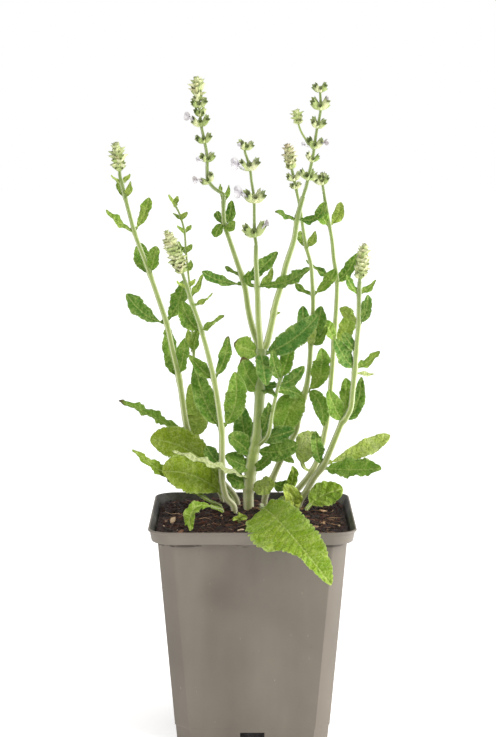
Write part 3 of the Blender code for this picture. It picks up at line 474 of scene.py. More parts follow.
# Each flower head: the stem and branch that it stands on, its axis, its open whorls and its dense spikes
HEADS = {
    "spike_left_outer": Head(
        "stem_left_outer",
        0,
        ((119, 165, 4.6), (116.2, 146, 4)),
        (),
        (Spike(172, 144.5, 8.8),),
    ),
    "spike_left": Head(
        "stem_left",
        0,
        ((178.5, 262, -16), (167, 233, -19)),
        (),
        (Spike(273, 233, 9.2),),
    ),
    "head_middle_left": Head(
        "stem_middle",
        1,
        ((214, 188, 22), (207.5, 178.6, 22), (207, 155.7, 22), (203.5, 136.5, 22),
         (201, 124, 22), (197, 81, 22)),
        (Whorl(183, 5.0, 4, 0.0), Whorl(162.5, 5.0, 4, 0.1), Whorl(143.5, 5.0, 4, 0.0),
         Whorl(127, 6.0, 4, 0.0), Whorl(117, 4.6, 2, 0.25), Whorl(108, 5.2, 4, 0.0)),
        (Spike(102, 81, 9.0),),
    ),
    "head_middle": Head(
        "stem_middle",
        2,
        ((254.5, 233, -3), (254.3, 215, -4), (254, 198, -4), (251.5, 181, -5),
         (249.5, 166, -5), (244.8, 151, -6), (246, 142, -6)),
        (Whorl(237.5, 7.4, 4, 0.0), Whorl(203.5, 7.2, 4, 0.05), Whorl(171, 6.4, 4, 0.0),
         Whorl(150.5, 5.2, 4, 0.1)),
        (),
    ),
    "head_middle_right": Head(
        "stem_middle",
        3,
        ((306, 187.5, -19), (308.9, 175, -20), (313, 156, -21), (316.3, 133, -22),
         (320.5, 111, -23), (320.2, 92.6, -23), (320, 88, -23)),
        (Whorl(180, 5.2, 4, 0.2), Whorl(162, 4.4, 2, 0.1), Whorl(149, 5.6, 4, 0.0), Whorl(128.5, 5.0, 4, 0.0),
         Whorl(110.5, 6.2, 4, 0.0), Whorl(92.5, 4.8, 4, 0.0)),
        (),
        (Sprig(150, ((303.5, 136, -22), (299, 126, -22), (296.6, 113, -22)), Spike(124, 112, 6.2)),),
    ),
    "spike_right_inner": Head(
        "stem_right_inner",
        0,
        ((292.2, 171, 12), (287.6, 147, 10)),
        (Whorl(189, 3.6, 4, 0.1), Whorl(181, 4.6, 4, 0.0)),
        (Spike(169, 145.5, 7.8),),
    ),
    "head_right": Head(
        "stem_right",
        0,
        ((323, 187.5, 31), (321, 176, 30)),
        (Whorl(185, 5.2, 4, 0.0), Whorl(180, 3.6, 4, 0.2)),
        (),
    ),
    "spike_right_outer": Head(
        "stem_right_outer",
        0,
        ((361.8, 268, -10), (364.3, 246.5, -11)),
        (),
        (Spike(279, 246.5, 8.6),),
    ),
}

# Each basal leaf: where its stalk leaves the medium in millimetres, and the leaf seen
BASAL_LEAVES = {
    "leaf_front": Basal((5, 4), 2.4, (285, 528, -58), (331, 585), -65, 25, 12, 0.5, 0.45, 0.5, 0.1),
    "leaf_left_round": Basal((-10, 18), 2.0, (197, 456), (150, 440), 14, 20, 15, 0.3, 0.62),
    "leaf_left_low": Basal((-10, 11), 2.0, (199, 478), (162, 472), -8, 22, 10, 0.4, 0.6),
    "leaf_left_far": Basal((-17, 9), 1.8, (171, 478), (132, 449.5), -12, 9, 45, 0.45, 0.45, 0.3),
    "leaf_front_left": Basal((-16, 0), 1.6, (197, 507), (190, 531), -40, 8, 30, 0.6, 0.6),
    "leaf_right": Basal((30, 13), 2.0, (320, 497), (343, 489), 24, 15, 10, 0.6, 0.5),
    "leaf_upright_pale": Basal((20, 13), 1.8, (294, 503), (284, 484), 6, 10.6, 15, 0.95, 0.6),
    "leaf_upright_round": Basal((13, 19), 1.6, (291, 486), (292, 466), 12, 6, 20, 0.55, 0.62),
}

# The seedling: where it stands on the medium in millimetres, and where its leaves' tips are seen
SEEDLING_GROUND = (-7, -18)
SEEDLING_THICK = (1.4, 1.0)
SEEDLING_SIDES = 8
SEEDLING_WIDTH = 3.2
SEEDLING_DROP = 0.6 * MM
SEEDLING_ARCH = 1 * MM
SEEDLING_LEAVES = (((233, 521, -22), 12), ((247, 519, -19), 22), ((239, 513, -16), 40))

# How brown a spike's top is, on the one that has begun to dry
BROWNED_TOPS = {"spike_right_inner": 0.9}

# The open corollas of each head: the row that each springs from, where its lips are seen, and its size
BLOOMS = {
    "head_middle_left": (
        Bloom(127, (187, 116), 19, 3.4),
        Bloom(161, (198, 160), 17, 2.2),
        Bloom(182, (195, 180), 18, 2.8),
    ),
    "head_middle": (
        Bloom(237.5, (267, 223), -9, 2.6),
        Bloom(204, (238, 192), -9, 5.0),
        Bloom(171, (235, 164), -10, 4.8),
        Bloom(150.5, (239.5, 146), -10, 2.4),
    ),
    "head_middle_right": (
        Bloom(148, (303.5, 145), -26, 2.2),
        Bloom(148, (326.5, 142), -24, 2.4),
        Bloom(111, (327, 98), -26, 1.8),
    ),
}

# Ranges of colour: each colour's share of the way and its code. The stalk's range runs from the crown
# up, and the others from deep to pale.
STEM_LEAF_GREENS = ((0.0, "3C7C2E"), (0.22, "467A14"), (0.45, "749E28"), (0.7, "B0C254"), (1.0, "E0E2B4"))
BASAL_LEAF_GREENS = ((0.0, "6C8A12"), (0.35, "94A812"), (0.6, "7CA216"), (1.0, "BCCA4A"))
STALK_GREENS = (
    (0.0, "CFC29E"), (0.2, "C4C08E"), (0.4, "AAB664"), (0.7, "A0AE66"), (0.9, "92A25C"), (1.0, "76864A")
)
HEAD_GREENS = ((0.0, "748C3A"), (0.35, "B0BE76"), (0.7, "DEE0AC"), (1.0, "EEECD0"))
PEAT_BROWNS = ((0.3, "0A0403"), (0.45, "180A06"), (0.58, "30160D"), (0.72, "4E2816"), (0.9, "704025"))
BARK_BROWNS = ((0.0, "0E0705"), (0.3, "24120B"), (0.55, "552D1B"), (0.8, "A67A54"), (1.0, "DCC6A2"))
TAUPES = ((0.3, "60574C"), (0.5, "6D6459"), (0.7, "797064"))
# Painted shade: the dark greys that colour the inside of the pot
INSIDE_SHADE_GREYS = ((0.32, "1C1915"), (0.5, "37342D"), (0.66, "5C5850"), (0.8, "7C776E"))

# Single colours
VEIN_GREEN = "D2E080"
STIPPLE_DARK = "30621A"
STIPPLE_PALE = "C4DA88"
# The leaves' paler margin, partly their own colour and partly painted light
PALE_AND_LIT_LEAF_EDGE = "C9DA86"
UNDERSIDE_GREY = "9DB36F"
DRIED_BROWN = "5C4B2C"
LEAF_GLOW = "A3C83A"
GROOVE_GREEN = "66801E"
DOWNY_CORNER = "E2E8C4"
STALK_STREAK = "CED89E"
DOWN_BUFF = "DDE3BE"
DOWN_WHITE = "F2F3E4"
RIB_GREEN = "9DB45A"
HORN_GREEN = "556B26"
CALYX_FOOT_GREEN = "7E943C"
BRACT_BUFF = "B39A80"
CALYX_SHADE = "525E2A"
COROLLA_WHITE = "D4D1D3"
COROLLA_GREY = "B5B0B5"
THROAT_LILAC = "A09AA2"
FADED_BROWN = "9A7A62"
STYLE_PURPLE = "5B4A5C"
COIR_BUFF = "A37E63"
# Painted shade on the medium low in the pot
PEAT_PAINTED_SHADE = "080504"
# Painted highlight on the pot's rim band and lip
RIM_PAINTED_LIGHT = "7E766B"
SCRATCH_PALE = "B4ACA0"
DUST_BROWN = "50443A"
DIRT_LINE = "33291F"
# The colour of the soft dark patch on the pot's front
DARK_PATCH_BROWN = "544A40"
FLOOR_PALE = "F4F4F3"
FLOOR_WHITE = "FBFBFA"


def seen(across, down, depth):
    """The point seen at a place in the picture, at a depth behind the pot's middle."""
    right = (across - MIDDLE_ACROSS_PX) / FOCAL_PX
    up = (MIDDLE_DOWN_PX - down) / FOCAL_PX
    sight = Vector((right, LEVEL + up * RISE, up * LEVEL - RISE))
    return EYE + sight * ((depth * MM - EYE.y) / sight.y)


def row_of(point):
    """The row of the picture in which a point is seen."""
    away = point - EYE
    return MIDDLE_DOWN_PX - FOCAL_PX * (away.y * RISE + away.z * LEVEL) / (away.y * LEVEL - away.z * RISE)


def soil_height(x, y):
    """The height of the growing medium: a low mound at the crown, with lumps."""
    away = (Vector((x, y)) - MOUND_CENTRE).length / MOUND_SPREAD
    lumps = math.sin(x * 410 + 1) * math.sin(y * 370) + 0.6 * math.sin(x * 830 - y * 640)
    return SOIL_EDGE + SOIL_MOUND * math.exp(-away * away) + SOIL_LUMPS * lumps


def crumbled_height(x, y):
    """The medium's height with its crumbs and hollows."""
    place = Vector((x, y, 0.02))
    crumbs = sum(noise.noise(place * pace) * height for pace, height in CRUMB_WAVES)
    return soil_height(x, y) + crumbs * MM


def root_points(ground):
    """The buried end of a stem or stalk, straight down in its hole, and the place where it comes out."""
    x, y = ground[0] * MM, ground[1] * MM
    surface = soil_height(x, y)
    return [Vector((x, y, surface - ROOTING_DEPTH)), Vector((x, y, surface + STANDING_CLEAR))]


def paint(code):
    """A linear colour from a six-digit code."""
    parts = [int(code[i : i + 2], 16) / 255 for i in (0, 2, 4)]
    return tuple(((p + 0.055) / 1.055) ** 2.4 if p > 0.04045 else p / 12.92 for p in parts) + (1.0,)


class Value:
    """A socket of a look, which Python's operators take further with Math nodes."""

    def __init__(self, look, socket):
        self.look = look
        self.socket = socket

    def maths(self, operation, *values):
        return self.look.node("Math", {"operation": operation}, dict(enumerate(values)))

    def __add__(self, other):
        return self.maths("ADD", self, other)

    __radd__ = __add__

    def __sub__(self, other):
        return self.maths("SUBTRACT", self, other)

    def __rsub__(self, other):
        return self.maths("SUBTRACT", other, self)

    def __mul__(self, other):
        return self.maths("MULTIPLY", self, other)

    __rmul__ = __mul__

    def __pow__(self, power):
        return self.maths("POWER", self, power)

    def __abs__(self):
        return self.maths("ABSOLUTE", self)

    def sine(self):
        return self.maths("SINE", self)

    def most(self, other):
        return self.maths("MAXIMUM", self, other)

    def rising(self, low, high):
        """0 below low and 1 above high, with a smooth step between."""
        settings = {"interpolation_type": "SMOOTHSTEP"}
        return self.look.node("MapRange", settings, {"Value": self, "From Min": low, "From Max": high})


class Look:
    """A material, whose nodes are added one by one."""

    def __init__(self, name):
        self.material = bpy.data.materials.new(name)
        self.material.use_nodes = True
        self.tree = self.material.node_tree
        self.tree.nodes.clear()

    def node(self, kind, settings=None, sockets=None, out=0):
        """One node of a kind: its settings first, then the values and links of its sockets."""
        made = self.tree.nodes.new("ShaderNode" + kind)
        for key, value in (settings or {}).items():
            if key == "stops":
                self.set_stops(made.color_ramp, value)
            else:
                setattr(made, key, value)
        for key, value in (sockets or {}).items():
            if isinstance(value, Value):
                self.tree.links.new(value.socket, made.inputs[key])
            else:
                made.inputs[key].default_value = value
        return Value(self, made.outputs[out]) if made.outputs else made

    def set_stops(self, ramp, stops):
        while len(ramp.elements) < len(stops):
            ramp.elements.new(0.5)
        for element, (position, code) in zip(ramp.elements, stops):
            element.position = position
            element.color = paint(code)

    def ramp(self, value, stops):
        return self.node("ValToRGB", {"stops": stops}, {0: value})

    def mix(self, factor, a, b):
        return self.node("Mix", {"data_type": "RGBA"}, {0: factor, 6: a, 7: b}, 2)

    def parts(self, name):
        """The three numbers of a vector attribute."""
        vector = self.node("Attribute", {"attribute_name": name}, out="Vector")
        return [self.node("SeparateXYZ", None, {0: vector}, axis) for axis in "XYZ"]

    def place(self):
        return self.node("TexCoord", out="Object")

    def stretched(self, vector, scale, rotation=(0, 0, 0)):
        """A vector turned and scaled on each axis."""
        return self.node("Mapping", None, {"Vector": vector, "Rotation": rotation, "Scale": scale})

    def noise(self, vector, scale, detail=3.0, roughness=0.55):
        sockets = {"Vector": vector, "Scale": scale, "Detail": detail, "Roughness": roughness}
        return self.node("TexNoise", None, sockets)

    def cells(self, vector, scale, feature="DISTANCE_TO_EDGE"):
        return self.node("TexVoronoi", {"feature": feature}, {"Vector": vector, "Scale": scale})

    def bump(self, height, strength, distance):
        sockets = {"Strength": strength, "Distance": distance, "Height": height}
        return self.node("Bump", None, sockets, "Normal")

    def surface(self, **sockets):
        """The main shader, with its sockets by their names, underlines for spaces."""
        named = {key.replace("_", " "): value for key, value in sockets.items()}
        return self.node("BsdfPrincipled", None, named)

    def finish(self, shader):
        self.node("OutputMaterial", None, {"Surface": shader})
        return self.material


def leaf_look(name, greens, vein_pitch, cell_scale, veined):
    """A net-veined leaf: green between its veins, pale on its midrib and underside, brown where it dries."""
    look = Look(name)
    across, along, away = look.parts("place")
    tint, dry, under = look.parts("look")
    apart = abs(away)
    between = abs(((along - apart * VEIN_LEAN) * (math.pi / vein_pitch)).sine())
    vein = (1 - between) ** 4
    midrib = 1 - apart.rising(0.15 * MM, 0.75 * MM)
    flat = look.node("CombineXYZ", None, {0: away, 1: along, 2: tint * 0.05})
    mottle = look.noise(flat, 240, 4)
    broad = look.noise(look.place(), 70, 2)
    bend = (mottle - 0.5) * 0.9 * MM
    bent = look.node("CombineXYZ", None, {0: away + bend, 1: along - bend, 2: tint * 0.05})
    net = 1 - look.cells(bent, cell_scale * 0.4).rising(0.0, 0.2)
    web = 1 - look.cells(bent, cell_scale * 0.8).rising(0.0, 0.22)
    patches = look.noise(flat, 130, 2).rising(0.4, 0.62)
    blend = tint + (mottle - 0.5) * 0.4 + (broad - 0.5) * 0.4
    green = look.ramp(blend, greens)
    mesh = (0.25 + patches * 0.75) * (net * 0.8).most(web * 0.5)
    lines = (vein * 0.6).most(midrib).most(mesh) * veined
    stipple = look.noise(flat, 1150, 3, 0.65)
    pale = look.mix(0.65, green, paint(VEIN_GREEN))
    colour = look.mix(lines, green, pale)
    colour = look.mix(stipple.rising(0.48, 0.6) * 0.34, colour, paint(STIPPLE_DARK))
    colour = look.mix((1 - stipple.rising(0.37, 0.45)) * 0.3, colour, paint(STIPPLE_PALE))
    # A paler margin: partly the leaf's own colour, partly painted light that the edges catch
    edge = abs(across).rising(0.84, 1.0)
    colour = look.mix(edge * 0.4, colour, paint(PALE_AND_LIT_LEAF_EDGE))
    dull = look.mix(0.5, colour, paint(UNDERSIDE_GREY))
    colour = look.mix(under * 0.75, colour, dull)
    dried = (dry + (mottle - 0.5) * 0.5).rising(0.45, 0.75)
    colour = look.mix(dried, colour, paint(DRIED_BROWN))
    height = between * 0.6 - net * 0.8 - web * 0.5 + mottle * 0.6 - midrib * 0.5 - stipple * 0.9
    normal = look.bump(height, 0.9, 0.34 * MM)
    rough = 0.5 + mottle * 0.25
    shader = look.surface(Base_Color=colour, Roughness=rough, Normal=normal, Specular_IOR_Level=0.2)
    glow = look.node("BsdfTranslucent", None, {"Color": paint(LEAF_GLOW)})
    return look.finish(look.node("MixShader", None, {0: 0.2, 1: shader, 2: glow}))


def stalk_look():
    """A square hairy stem: pale downy corners, green grooves, buff at the crown."""
    look = Look("hairy_stalk")
    corner, along, angle = look.parts("place")
    height, shade, _ = look.parts("look")
    line = look.node("CombineXYZ", None, {0: angle, 1: along * 60, 2: shade})
    streaks = look.noise(line, 3.2, 4)
    broad = look.noise(look.place(), 55, 2)
    green = look.ramp(height + (broad - 0.5) * 0.2, STALK_GREENS)
    groove = look.mix(0.6, green, paint(GROOVE_GREEN))
    colour = look.mix(corner.rising(0.15, 0.8), groove, green)
    colour = look.mix(corner.rising(0.55, 0.95) * (0.8 - height * 0.4), colour, paint(DOWNY_CORNER))
    colour = look.mix(streaks.rising(0.45, 0.8) * 0.3, colour, paint(STALK_STREAK))
    normal = look.bump(streaks + broad * 0.4, 0.5, 0.25 * MM)
    return look.finish(look.surface(Base_Color=colour, Roughness=0.55, Normal=normal, Sheen_Weight=0.2))


def down_look():
    """The white down on stems and heads."""
    look = Look("white_down")
    share = look.noise(look.place(), 300, 2)
    colour = look.mix(share, paint(DOWN_BUFF), paint(DOWN_WHITE))
    return look.finish(look.surface(Base_Color=colour, Roughness=0.5))


def head_look():
    """Calyces and bracts: pale yellow-green with darker ribs and points."""
    look = Look("calyx_and_bract")
    rib, along, inside = look.parts("place")
    tint, dark, fading = look.parts("look")
    grain = look.noise(look.place(), 620, 4)
    green = look.ramp(tint + (grain - 0.5) * 0.3, HEAD_GREENS)
    ribs = rib.rising(0.35, 1.0)
    colour = look.mix(ribs * 0.3, green, paint(RIB_GREEN))
    tip = along.rising(0.7, 1.0)
    colour = look.mix(tip * dark, colour, paint(HORN_GREEN))
    foot = 1 - along.rising(0.0, 0.35)
    colour = look.mix(foot * 0.25, colour, paint(CALYX_FOOT_GREEN))
    colour = look.mix(fading * grain.rising(0.3, 0.6), colour, paint(BRACT_BUFF))
    colour = look.mix(inside * 0.7, colour, paint(CALYX_SHADE))
    normal = look.bump(grain - ribs * 0.4, 0.6, 0.2 * MM)
    rough = 0.55 + grain * 0.2
    return look.finish(look.surface(Base_Color=colour, Roughness=rough, Normal=normal, Sheen_Weight=0.2))


def corolla_look():
    """White corollas with a faint grey-lilac throat and fading brown edges."""
    look = Look("white_corolla")
    _, along, _ = look.parts("place")
    faded, dark, _ = look.parts("look")
    grain = look.noise(look.place(), 500, 3)
    white = look.mix(grain * 0.6, paint(COROLLA_WHITE), paint(COROLLA_GREY))
    colour = look.mix((1 - along.rising(0.1, 0.6)) * 0.4, white, paint(THROAT_LILAC))
    colour = look.mix(faded * grain.rising(0.35, 0.65), colour, paint(FADED_BROWN))
    colour = look.mix(dark, colour, paint(STYLE_PURPLE))
    normal = look.bump(grain, 0.3, 0.1 * MM)
    return look.finish(look.surface(Base_Color=colour, Roughness=0.6, Normal=normal))


def peat_look():
    """Dark moist peat and coir: near-black hollows, red-brown crumbs and buff threads."""
    look = Look("peat")
    place = look.place()
    coarse = look.noise(place, 130, 5, 0.65)
    fine = look.noise(place, 620, 5, 0.7)
    crumbs = look.cells(place, 520, "F1")
    colour = look.ramp(coarse * 0.55 + fine * 0.5, PEAT_BROWNS)
    threads = look.stretched(place, (260, 1500, 900), (0.3, 0.2, 0.7))
    thread = look.noise(threads, 1.0, 2).rising(0.66, 0.76)
    colour = look.mix(thread * 0.6, colour, paint(COIR_BUFF))
    # Painted shade: the medium low in the pot, seen through the notches and drain holes, is darkened to
    # near-black
    shaded = 1 - look.node("SeparateXYZ", None, {0: place}, "Z").rising(12 * MM, 40 * MM)
    colour = look.mix(shaded * 0.85, colour, paint(PEAT_PAINTED_SHADE))
    wet = fine.rising(0.35, 0.6)
    normal = look.bump(fine * 0.8 + crumbs * 0.7 + coarse, 1.0, 0.9 * MM)
    return look.finish(look.surface(Base_Color=colour, Roughness=0.55 + wet * 0.4, Normal=normal))


def bark_look():
    """Crumbs, chips and threads of bark, wood and coir, each with its own shade."""
    look = Look("bark")
    shade, _, _ = look.parts("look")
    place = look.place()
    grain = look.noise(look.stretched(place, (500, 1400, 700)), 1.0, 4)
    colour = look.ramp(shade + (grain - 0.5) * 0.25, BARK_BROWNS)
    normal = look.bump(grain, 0.8, 0.3 * MM)
    return look.finish(look.surface(Base_Color=colour, Roughness=0.6 + grain * 0.35, Normal=normal))


def plastic_look():
    """Moulded taupe polypropylene: a satin skin, faint flow marks, scuffs, dust under the rim, a painted
    highlight on the rim and a soft dark patch on the front.
    """
    look = Look("taupe_plastic")
    place = look.place()
    rise = look.node("SeparateXYZ", None, {0: place}, "Z")
    flow = look.noise(look.stretched(place, (34, 34, 7)), 1.0, 3)
    cloud = look.noise(place, 24, 3)
    colour = look.ramp(flow * 0.6 + cloud * 0.4, TAUPES)
    # Painted highlight: the rim band and lip are coloured lighter than the body
    upper = rise.rising(UNDER_RIM - 0.2 * MM, UNDER_RIM + 0.6 * MM)
    colour = look.mix(upper * 0.5, colour, paint(RIM_PAINTED_LIGHT))
    scratch_map = look.stretched(place, (1100, 1100, 150), (0, 0.6, 0.2))
    scratch = look.noise(scratch_map, 1.0, 1).rising(0.775, 0.82)
    colour = look.mix(scratch * 0.5, colour, paint(SCRATCH_PALE))
    dust = look.noise(place, 300, 4).rising(0.62, 0.8)
    low_rim = rise.rising(UNDER_RIM - 23 * MM, UNDER_RIM) * (1 - upper)
    colour = look.mix(dust * (0.15 + low_rim * 0.35), colour, paint(DUST_BROWN))
    seam = rise.rising(UNDER_RIM - 2.2 * MM, UNDER_RIM - 1.5 * MM) * (1 - upper)
    grit = look.noise(look.stretched(place, (90, 90, 400)), 1.0, 3)
    colour = look.mix(seam * grit.rising(0.48, 0.58) * 0.85, colour, paint(DIRT_LINE))
    # A soft dark patch on the front face, darkest round its centre
    away = look.node("VectorMath", {"operation": "DISTANCE"}, {0: place, 1: DARK_PATCH_CENTRE}, 1)
    dark_patch = 1 - (away + (cloud - 0.5) * 14 * MM).rising(2 * MM, 19 * MM)
    colour = look.mix(dark_patch * 0.55, colour, paint(DARK_PATCH_BROWN))
    skin = look.noise(place, 1500, 3)
    normal = look.bump(skin * 0.5 + scratch * 0.3 + flow, 0.22, 0.25 * MM)
    return look.finish(look.surface(Base_Color=colour, Roughness=0.42 + cloud * 0.2, Normal=normal))


def inside_shade_plastic_look():
    """The inside of the pot: the same plastic, painted dark grey with streaks as painted shade, and glossier.
    """
    look = Look("inside_shade_plastic")
    place = look.place()
    runs = look.noise(look.stretched(place, (160, 160, 30)), 1.0, 4)
    grime = look.noise(place, 420, 4)
    # Painted shade: the inside walls are coloured dark grey, with streaks
    colour = look.ramp(runs * 0.7 + grime * 0.3, INSIDE_SHADE_GREYS)
    normal = look.bump(grime, 0.5, 0.3 * MM)
    return look.finish(look.surface(Base_Color=colour, Roughness=0.3 + grime * 0.3, Normal=normal))


def floor_look():
    """A pale studio floor."""
    look = Look("pale_floor")
    grain = look.noise(look.place(), 8, 2)
    colour = look.mix(grain, paint(FLOOR_PALE), paint(FLOOR_WHITE))
    lit = look.surface(Base_Color=colour, Roughness=0.9, Emission_Color=(1, 1, 1, 1), Emission_Strength=0.5)
    return look.finish(lit)


def piece_of(mesh, name, looks, nodes, sharp):
    """A piece of the object: it rides on the root and stands for nodes."""
    for look in looks:
        mesh.materials.append(look)
    mesh.shade_smooth()
    mesh.set_sharp_from_angle(angle=math.radians(sharp))
    piece = bpy.data.objects.new(name, mesh)
    bpy.context.scene.collection.objects.link(piece)
    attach(piece, "root")
    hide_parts(*nodes)


def mesh_from(bm, name):
    """The mesh that a bmesh becomes."""
    mesh = bpy.data.meshes.new(name)
    bm.to_mesh(mesh)
    bm.free()
    return mesh


def piece_from(bm, name, looks, nodes, sharp=60):
    """A finished piece made of a bmesh."""
    piece_of(mesh_from(bm, name), name, looks, nodes, sharp)


def marked_bmesh():
    """A bmesh whose points carry their place on the surface and their look."""
    bm = bmesh.new()
    bm.verts.layers.float_vector.new("place")
    bm.verts.layers.float_vector.new("look")
    return bm


def mark(bm, vert, place, look):
    """Gives a point its place on the surface and its look."""
    vert[bm.verts.layers.float_vector["place"]] = place
    vert[bm.verts.layers.float_vector["look"]] = look


def halfway(middle, start, tip):
    """The middle of a leaf, which lies halfway back between its ends where it gives no depth of its own."""
    across, down, *depth = middle
    return seen(across, down, *(depth or [(start.y + tip.y) / 2 / MM]))


class LeafForm:
    """A leaf's surface: a curved midrib, a toothed outline, a fold, a waved margin and quilting."""

    def __init__(self, start, middle, tip, leaf, vein_pitch, columns):
        self.start = start
        self.pull = middle * 2 - (start + tip) / 2
        self.tip = tip
        self.half = leaf.width / 2 * MM
        self.turn = math.radians(leaf.turn)
        self.stalk = getattr(leaf, "stalk", PETIOLE_SHARE)
        self.swelling = math.log(0.5) / math.log(leaf.widest)
        self.lobes = getattr(leaf, "lobes", 0.0)
        self.tint = leaf.tint
        self.dry = getattr(leaf, "dry", BASAL_DRYNESS)
        self.vein_pitch = vein_pitch
        self.columns = columns
        self.length = (middle - start).length + (tip - middle).length
        self.phase = tip.x * 900

    def midrib(self, t):
        """The point of the midrib at a share of the leaf's length."""
        return self.start * (1 - t) ** 2 + self.pull * (2 * t * (1 - t)) + self.tip * t**2

    def frame(self, t):
        """The direction across the blade and the direction that its upper face looks in."""
        along = ((self.pull - self.start) * (1 - t) + (self.tip - self.pull) * t).normalized()
        to_eye = EYE - self.midrib(t)
        facing = (to_eye - along * to_eye.dot(along)).normalized()
        edge = along.cross(facing)
        if edge.z < 0:
            edge.negate()
        upper = facing * math.cos(self.turn) + edge * math.sin(self.turn)
        return along.cross(upper), upper

    def section(self, t):
        """The leaf's cross-section at a share of its length."""
        side, upper = self.frame(t)
        travelled = t * self.length
        blade = max(0.0, (t - self.stalk) / (1 - self.stalk))
        swell = math.sin(math.pi * blade**self.swelling) ** BLADE_FULLNESS if 0 < blade < 1 else 0.0
        end = PETIOLE_WIDTH / 2 if t <= self.stalk else TIP_HALF_WIDTH
        half = max(end, self.half * swell)
        margins = [max(end, half - self.tooth(travelled, half, row)) for row in (0, 1)]
        lobe = self.lobes * math.cos(min(math.pi, 2 * math.pi * LOBE_TURNS * max(0.0, t - LOBE_END)))
        return Section(self.midrib(t), side, upper, half, margins, lobe, travelled, min(1.0, blade * 6), t)

    def tooth(self, travelled, half, row):
        """How far the margin draws in here, between rounded teeth that differ along each side."""
        place = travelled / self.vein_pitch
        drift = noise.noise(Vector((place * 0.8, self.phase, 7 * row))) * TOOTH_DRIFT
        beat = abs(math.sin(math.pi * (place * TEETH_PER_VEIN + drift) + self.phase + row))
        deep = TOOTH_MIDDLE + TOOTH_SPREAD * noise.noise(Vector((place, self.phase, 3 + row)))
        share = TOOTH_SHARE * math.sqrt(self.vein_pitch / VEIN_PITCH)
        return min(TOOTH_DEPTH, half * share) * max(TOOTH_LEAST, deep) * (1 - beat**TOOTH_ROUNDING)

    def skin(self, cut, across, under):
        """A point of the upper or the under skin, and how far it is from the midrib."""
        reach = abs(across)
        half = cut.half + (cut.margins[across > 0] - cut.half) * reach**MARGIN_POWER
        away = half * across * (1 + cut.lobe * (1 if across > 0 else -LOBE_ACROSS))
        wide = cut.half / self.half
        turns = cut.travelled * 2 * math.pi
        lift = FOLD * cut.half * reach
        lift += MARGIN_WAVE * wide * math.sin(turns / WAVE_LENGTH + across) * across * across
        drift = RUFFLE_DRIFT * noise.noise(Vector((cut.travelled * RUFFLE_PACE, self.phase, across)))
        ruffle = min(RUFFLE, self.half * RUFFLE_SHARE) * wide * reach**4
        lift += ruffle * math.sin(turns / RUFFLE_LENGTH + self.phase + 2 * across + drift)
        between = abs(math.sin(math.pi * (cut.travelled - abs(away) * VEIN_LEAN) / self.vein_pitch))
        lumps = noise.noise(Vector((away, cut.travelled, self.phase)) * LUMP_PACE)
        quilting = QUILTING * self.vein_pitch / VEIN_PITCH * (between**0.8 - 0.5 + lumps * QUILT_LUMPS)
        inner = 1 - reach**SKIN_POWER
        lift += quilting * inner * cut.blade
        ends = min(1.0, cut.share * END_TAPER, (1 - cut.share) * END_TAPER)
        body = LEAF_THICKNESS / 2 * inner * ends
        rib = math.exp(-((away / MIDRIB_HALF_WIDTH) ** 2)) * ends
        if under:
            lift -= body + MIDRIB_DEPTH * (1 - MIDRIB_THINNING * cut.share) * rib
        else:
            lift += body - MIDRIB_CHANNEL * rib
        return cut.middle + cut.side * away + cut.upper * lift, away

    def add_to(self, bm):
        """Two skins, the under one reversed, joined along the margin."""
        rows = max(10, round(self.length / LEAF_ROW))
        sections = [self.section(row / rows) for row in range(rows + 1)]
        seam = []
        for under in (0, 1):
            made = bmesh.ops.create_grid(bm, x_segments=self.columns, y_segments=rows, size=1.0)["verts"]
            for vert in made:
                cut = sections[round((vert.co.y + 1) / 2 * rows)]
                even = vert.co.x
                across = even * (0.55 + 0.45 * even * even)
                if abs(abs(even) - 1) < 0.001 or cut.share in (0.0, 1.0):
                    seam.append(vert)
                vert.co, away = self.skin(cut, across, under)
                drying = max(0.0, (cut.share - DRY_FROM) / (1 - DRY_FROM)) ** 1.5
                drying += EDGE_DRYNESS * abs(across) ** 6
                mark(bm, vert, (across, cut.travelled, away), (self.tint, self.dry * drying, under))
            if under:
                faces = {face for vert in made for face in vert.link_faces}
                bmesh.ops.reverse_faces(bm, faces=list(faces))
        bmesh.ops.remove_doubles(bm, verts=seam, dist=WELD)


class Axis:
    """A stem's line, with its thickness falling evenly from its foot to its top."""

    def __init__(self, points, thick):
        self.points = points
        self.thick = thick

    def at_row(self, row):
        """The point of the line that is seen in a row of the picture, and the direction of the line there."""
        for a, b in zip(self.points, self.points[1:]):
            low, high = row_of(a), row_of(b)
            if high <= row <= low:
                return a.lerp(b, (low - row) / (low - high)), (b - a).normalized()
        return self.points[-1].copy(), (self.points[-1] - self.points[-2]).normalized()


def bend_reach(a, b, beyond):
    """The reach of a stretch's handle: a third of it, or of the stretch beside it where that is shorter."""
    whole = (b - a).length
    beside = min((beyond - a).length, (beyond - b).length)
    return min(whole, beside or whole) / 3


def smooth_line(points, spacing):
    """Closely spaced points on a smooth curve through points."""
    line = []
    padded = [points[0], *points, points[-1]]
    for before, a, b, after in zip(padded, padded[1:], padded[2:], padded[3:]):
        leaving = a + (b - before).normalized() * bend_reach(a, b, before)
        arriving = b - (after - a).normalized() * bend_reach(a, b, after)
        steps = max(2, round((b - a).length / spacing))
        line += interpolate_bezier(a, leaving, arriving, b, steps + 1)[:-1]
    return line + [points[-1]]


def frames_along(line, first=Vector((1, 1, 0))):
    """For each point, the line's direction and two square to it, which turn as little as they can."""
    side = first
    for index in range(len(line)):
        along = (line[min(index + 1, len(line) - 1)] - line[max(index - 1, 0)]).normalized()
        side = (side - along * side.dot(along)).normalized()
        yield along, side, along.cross(side)


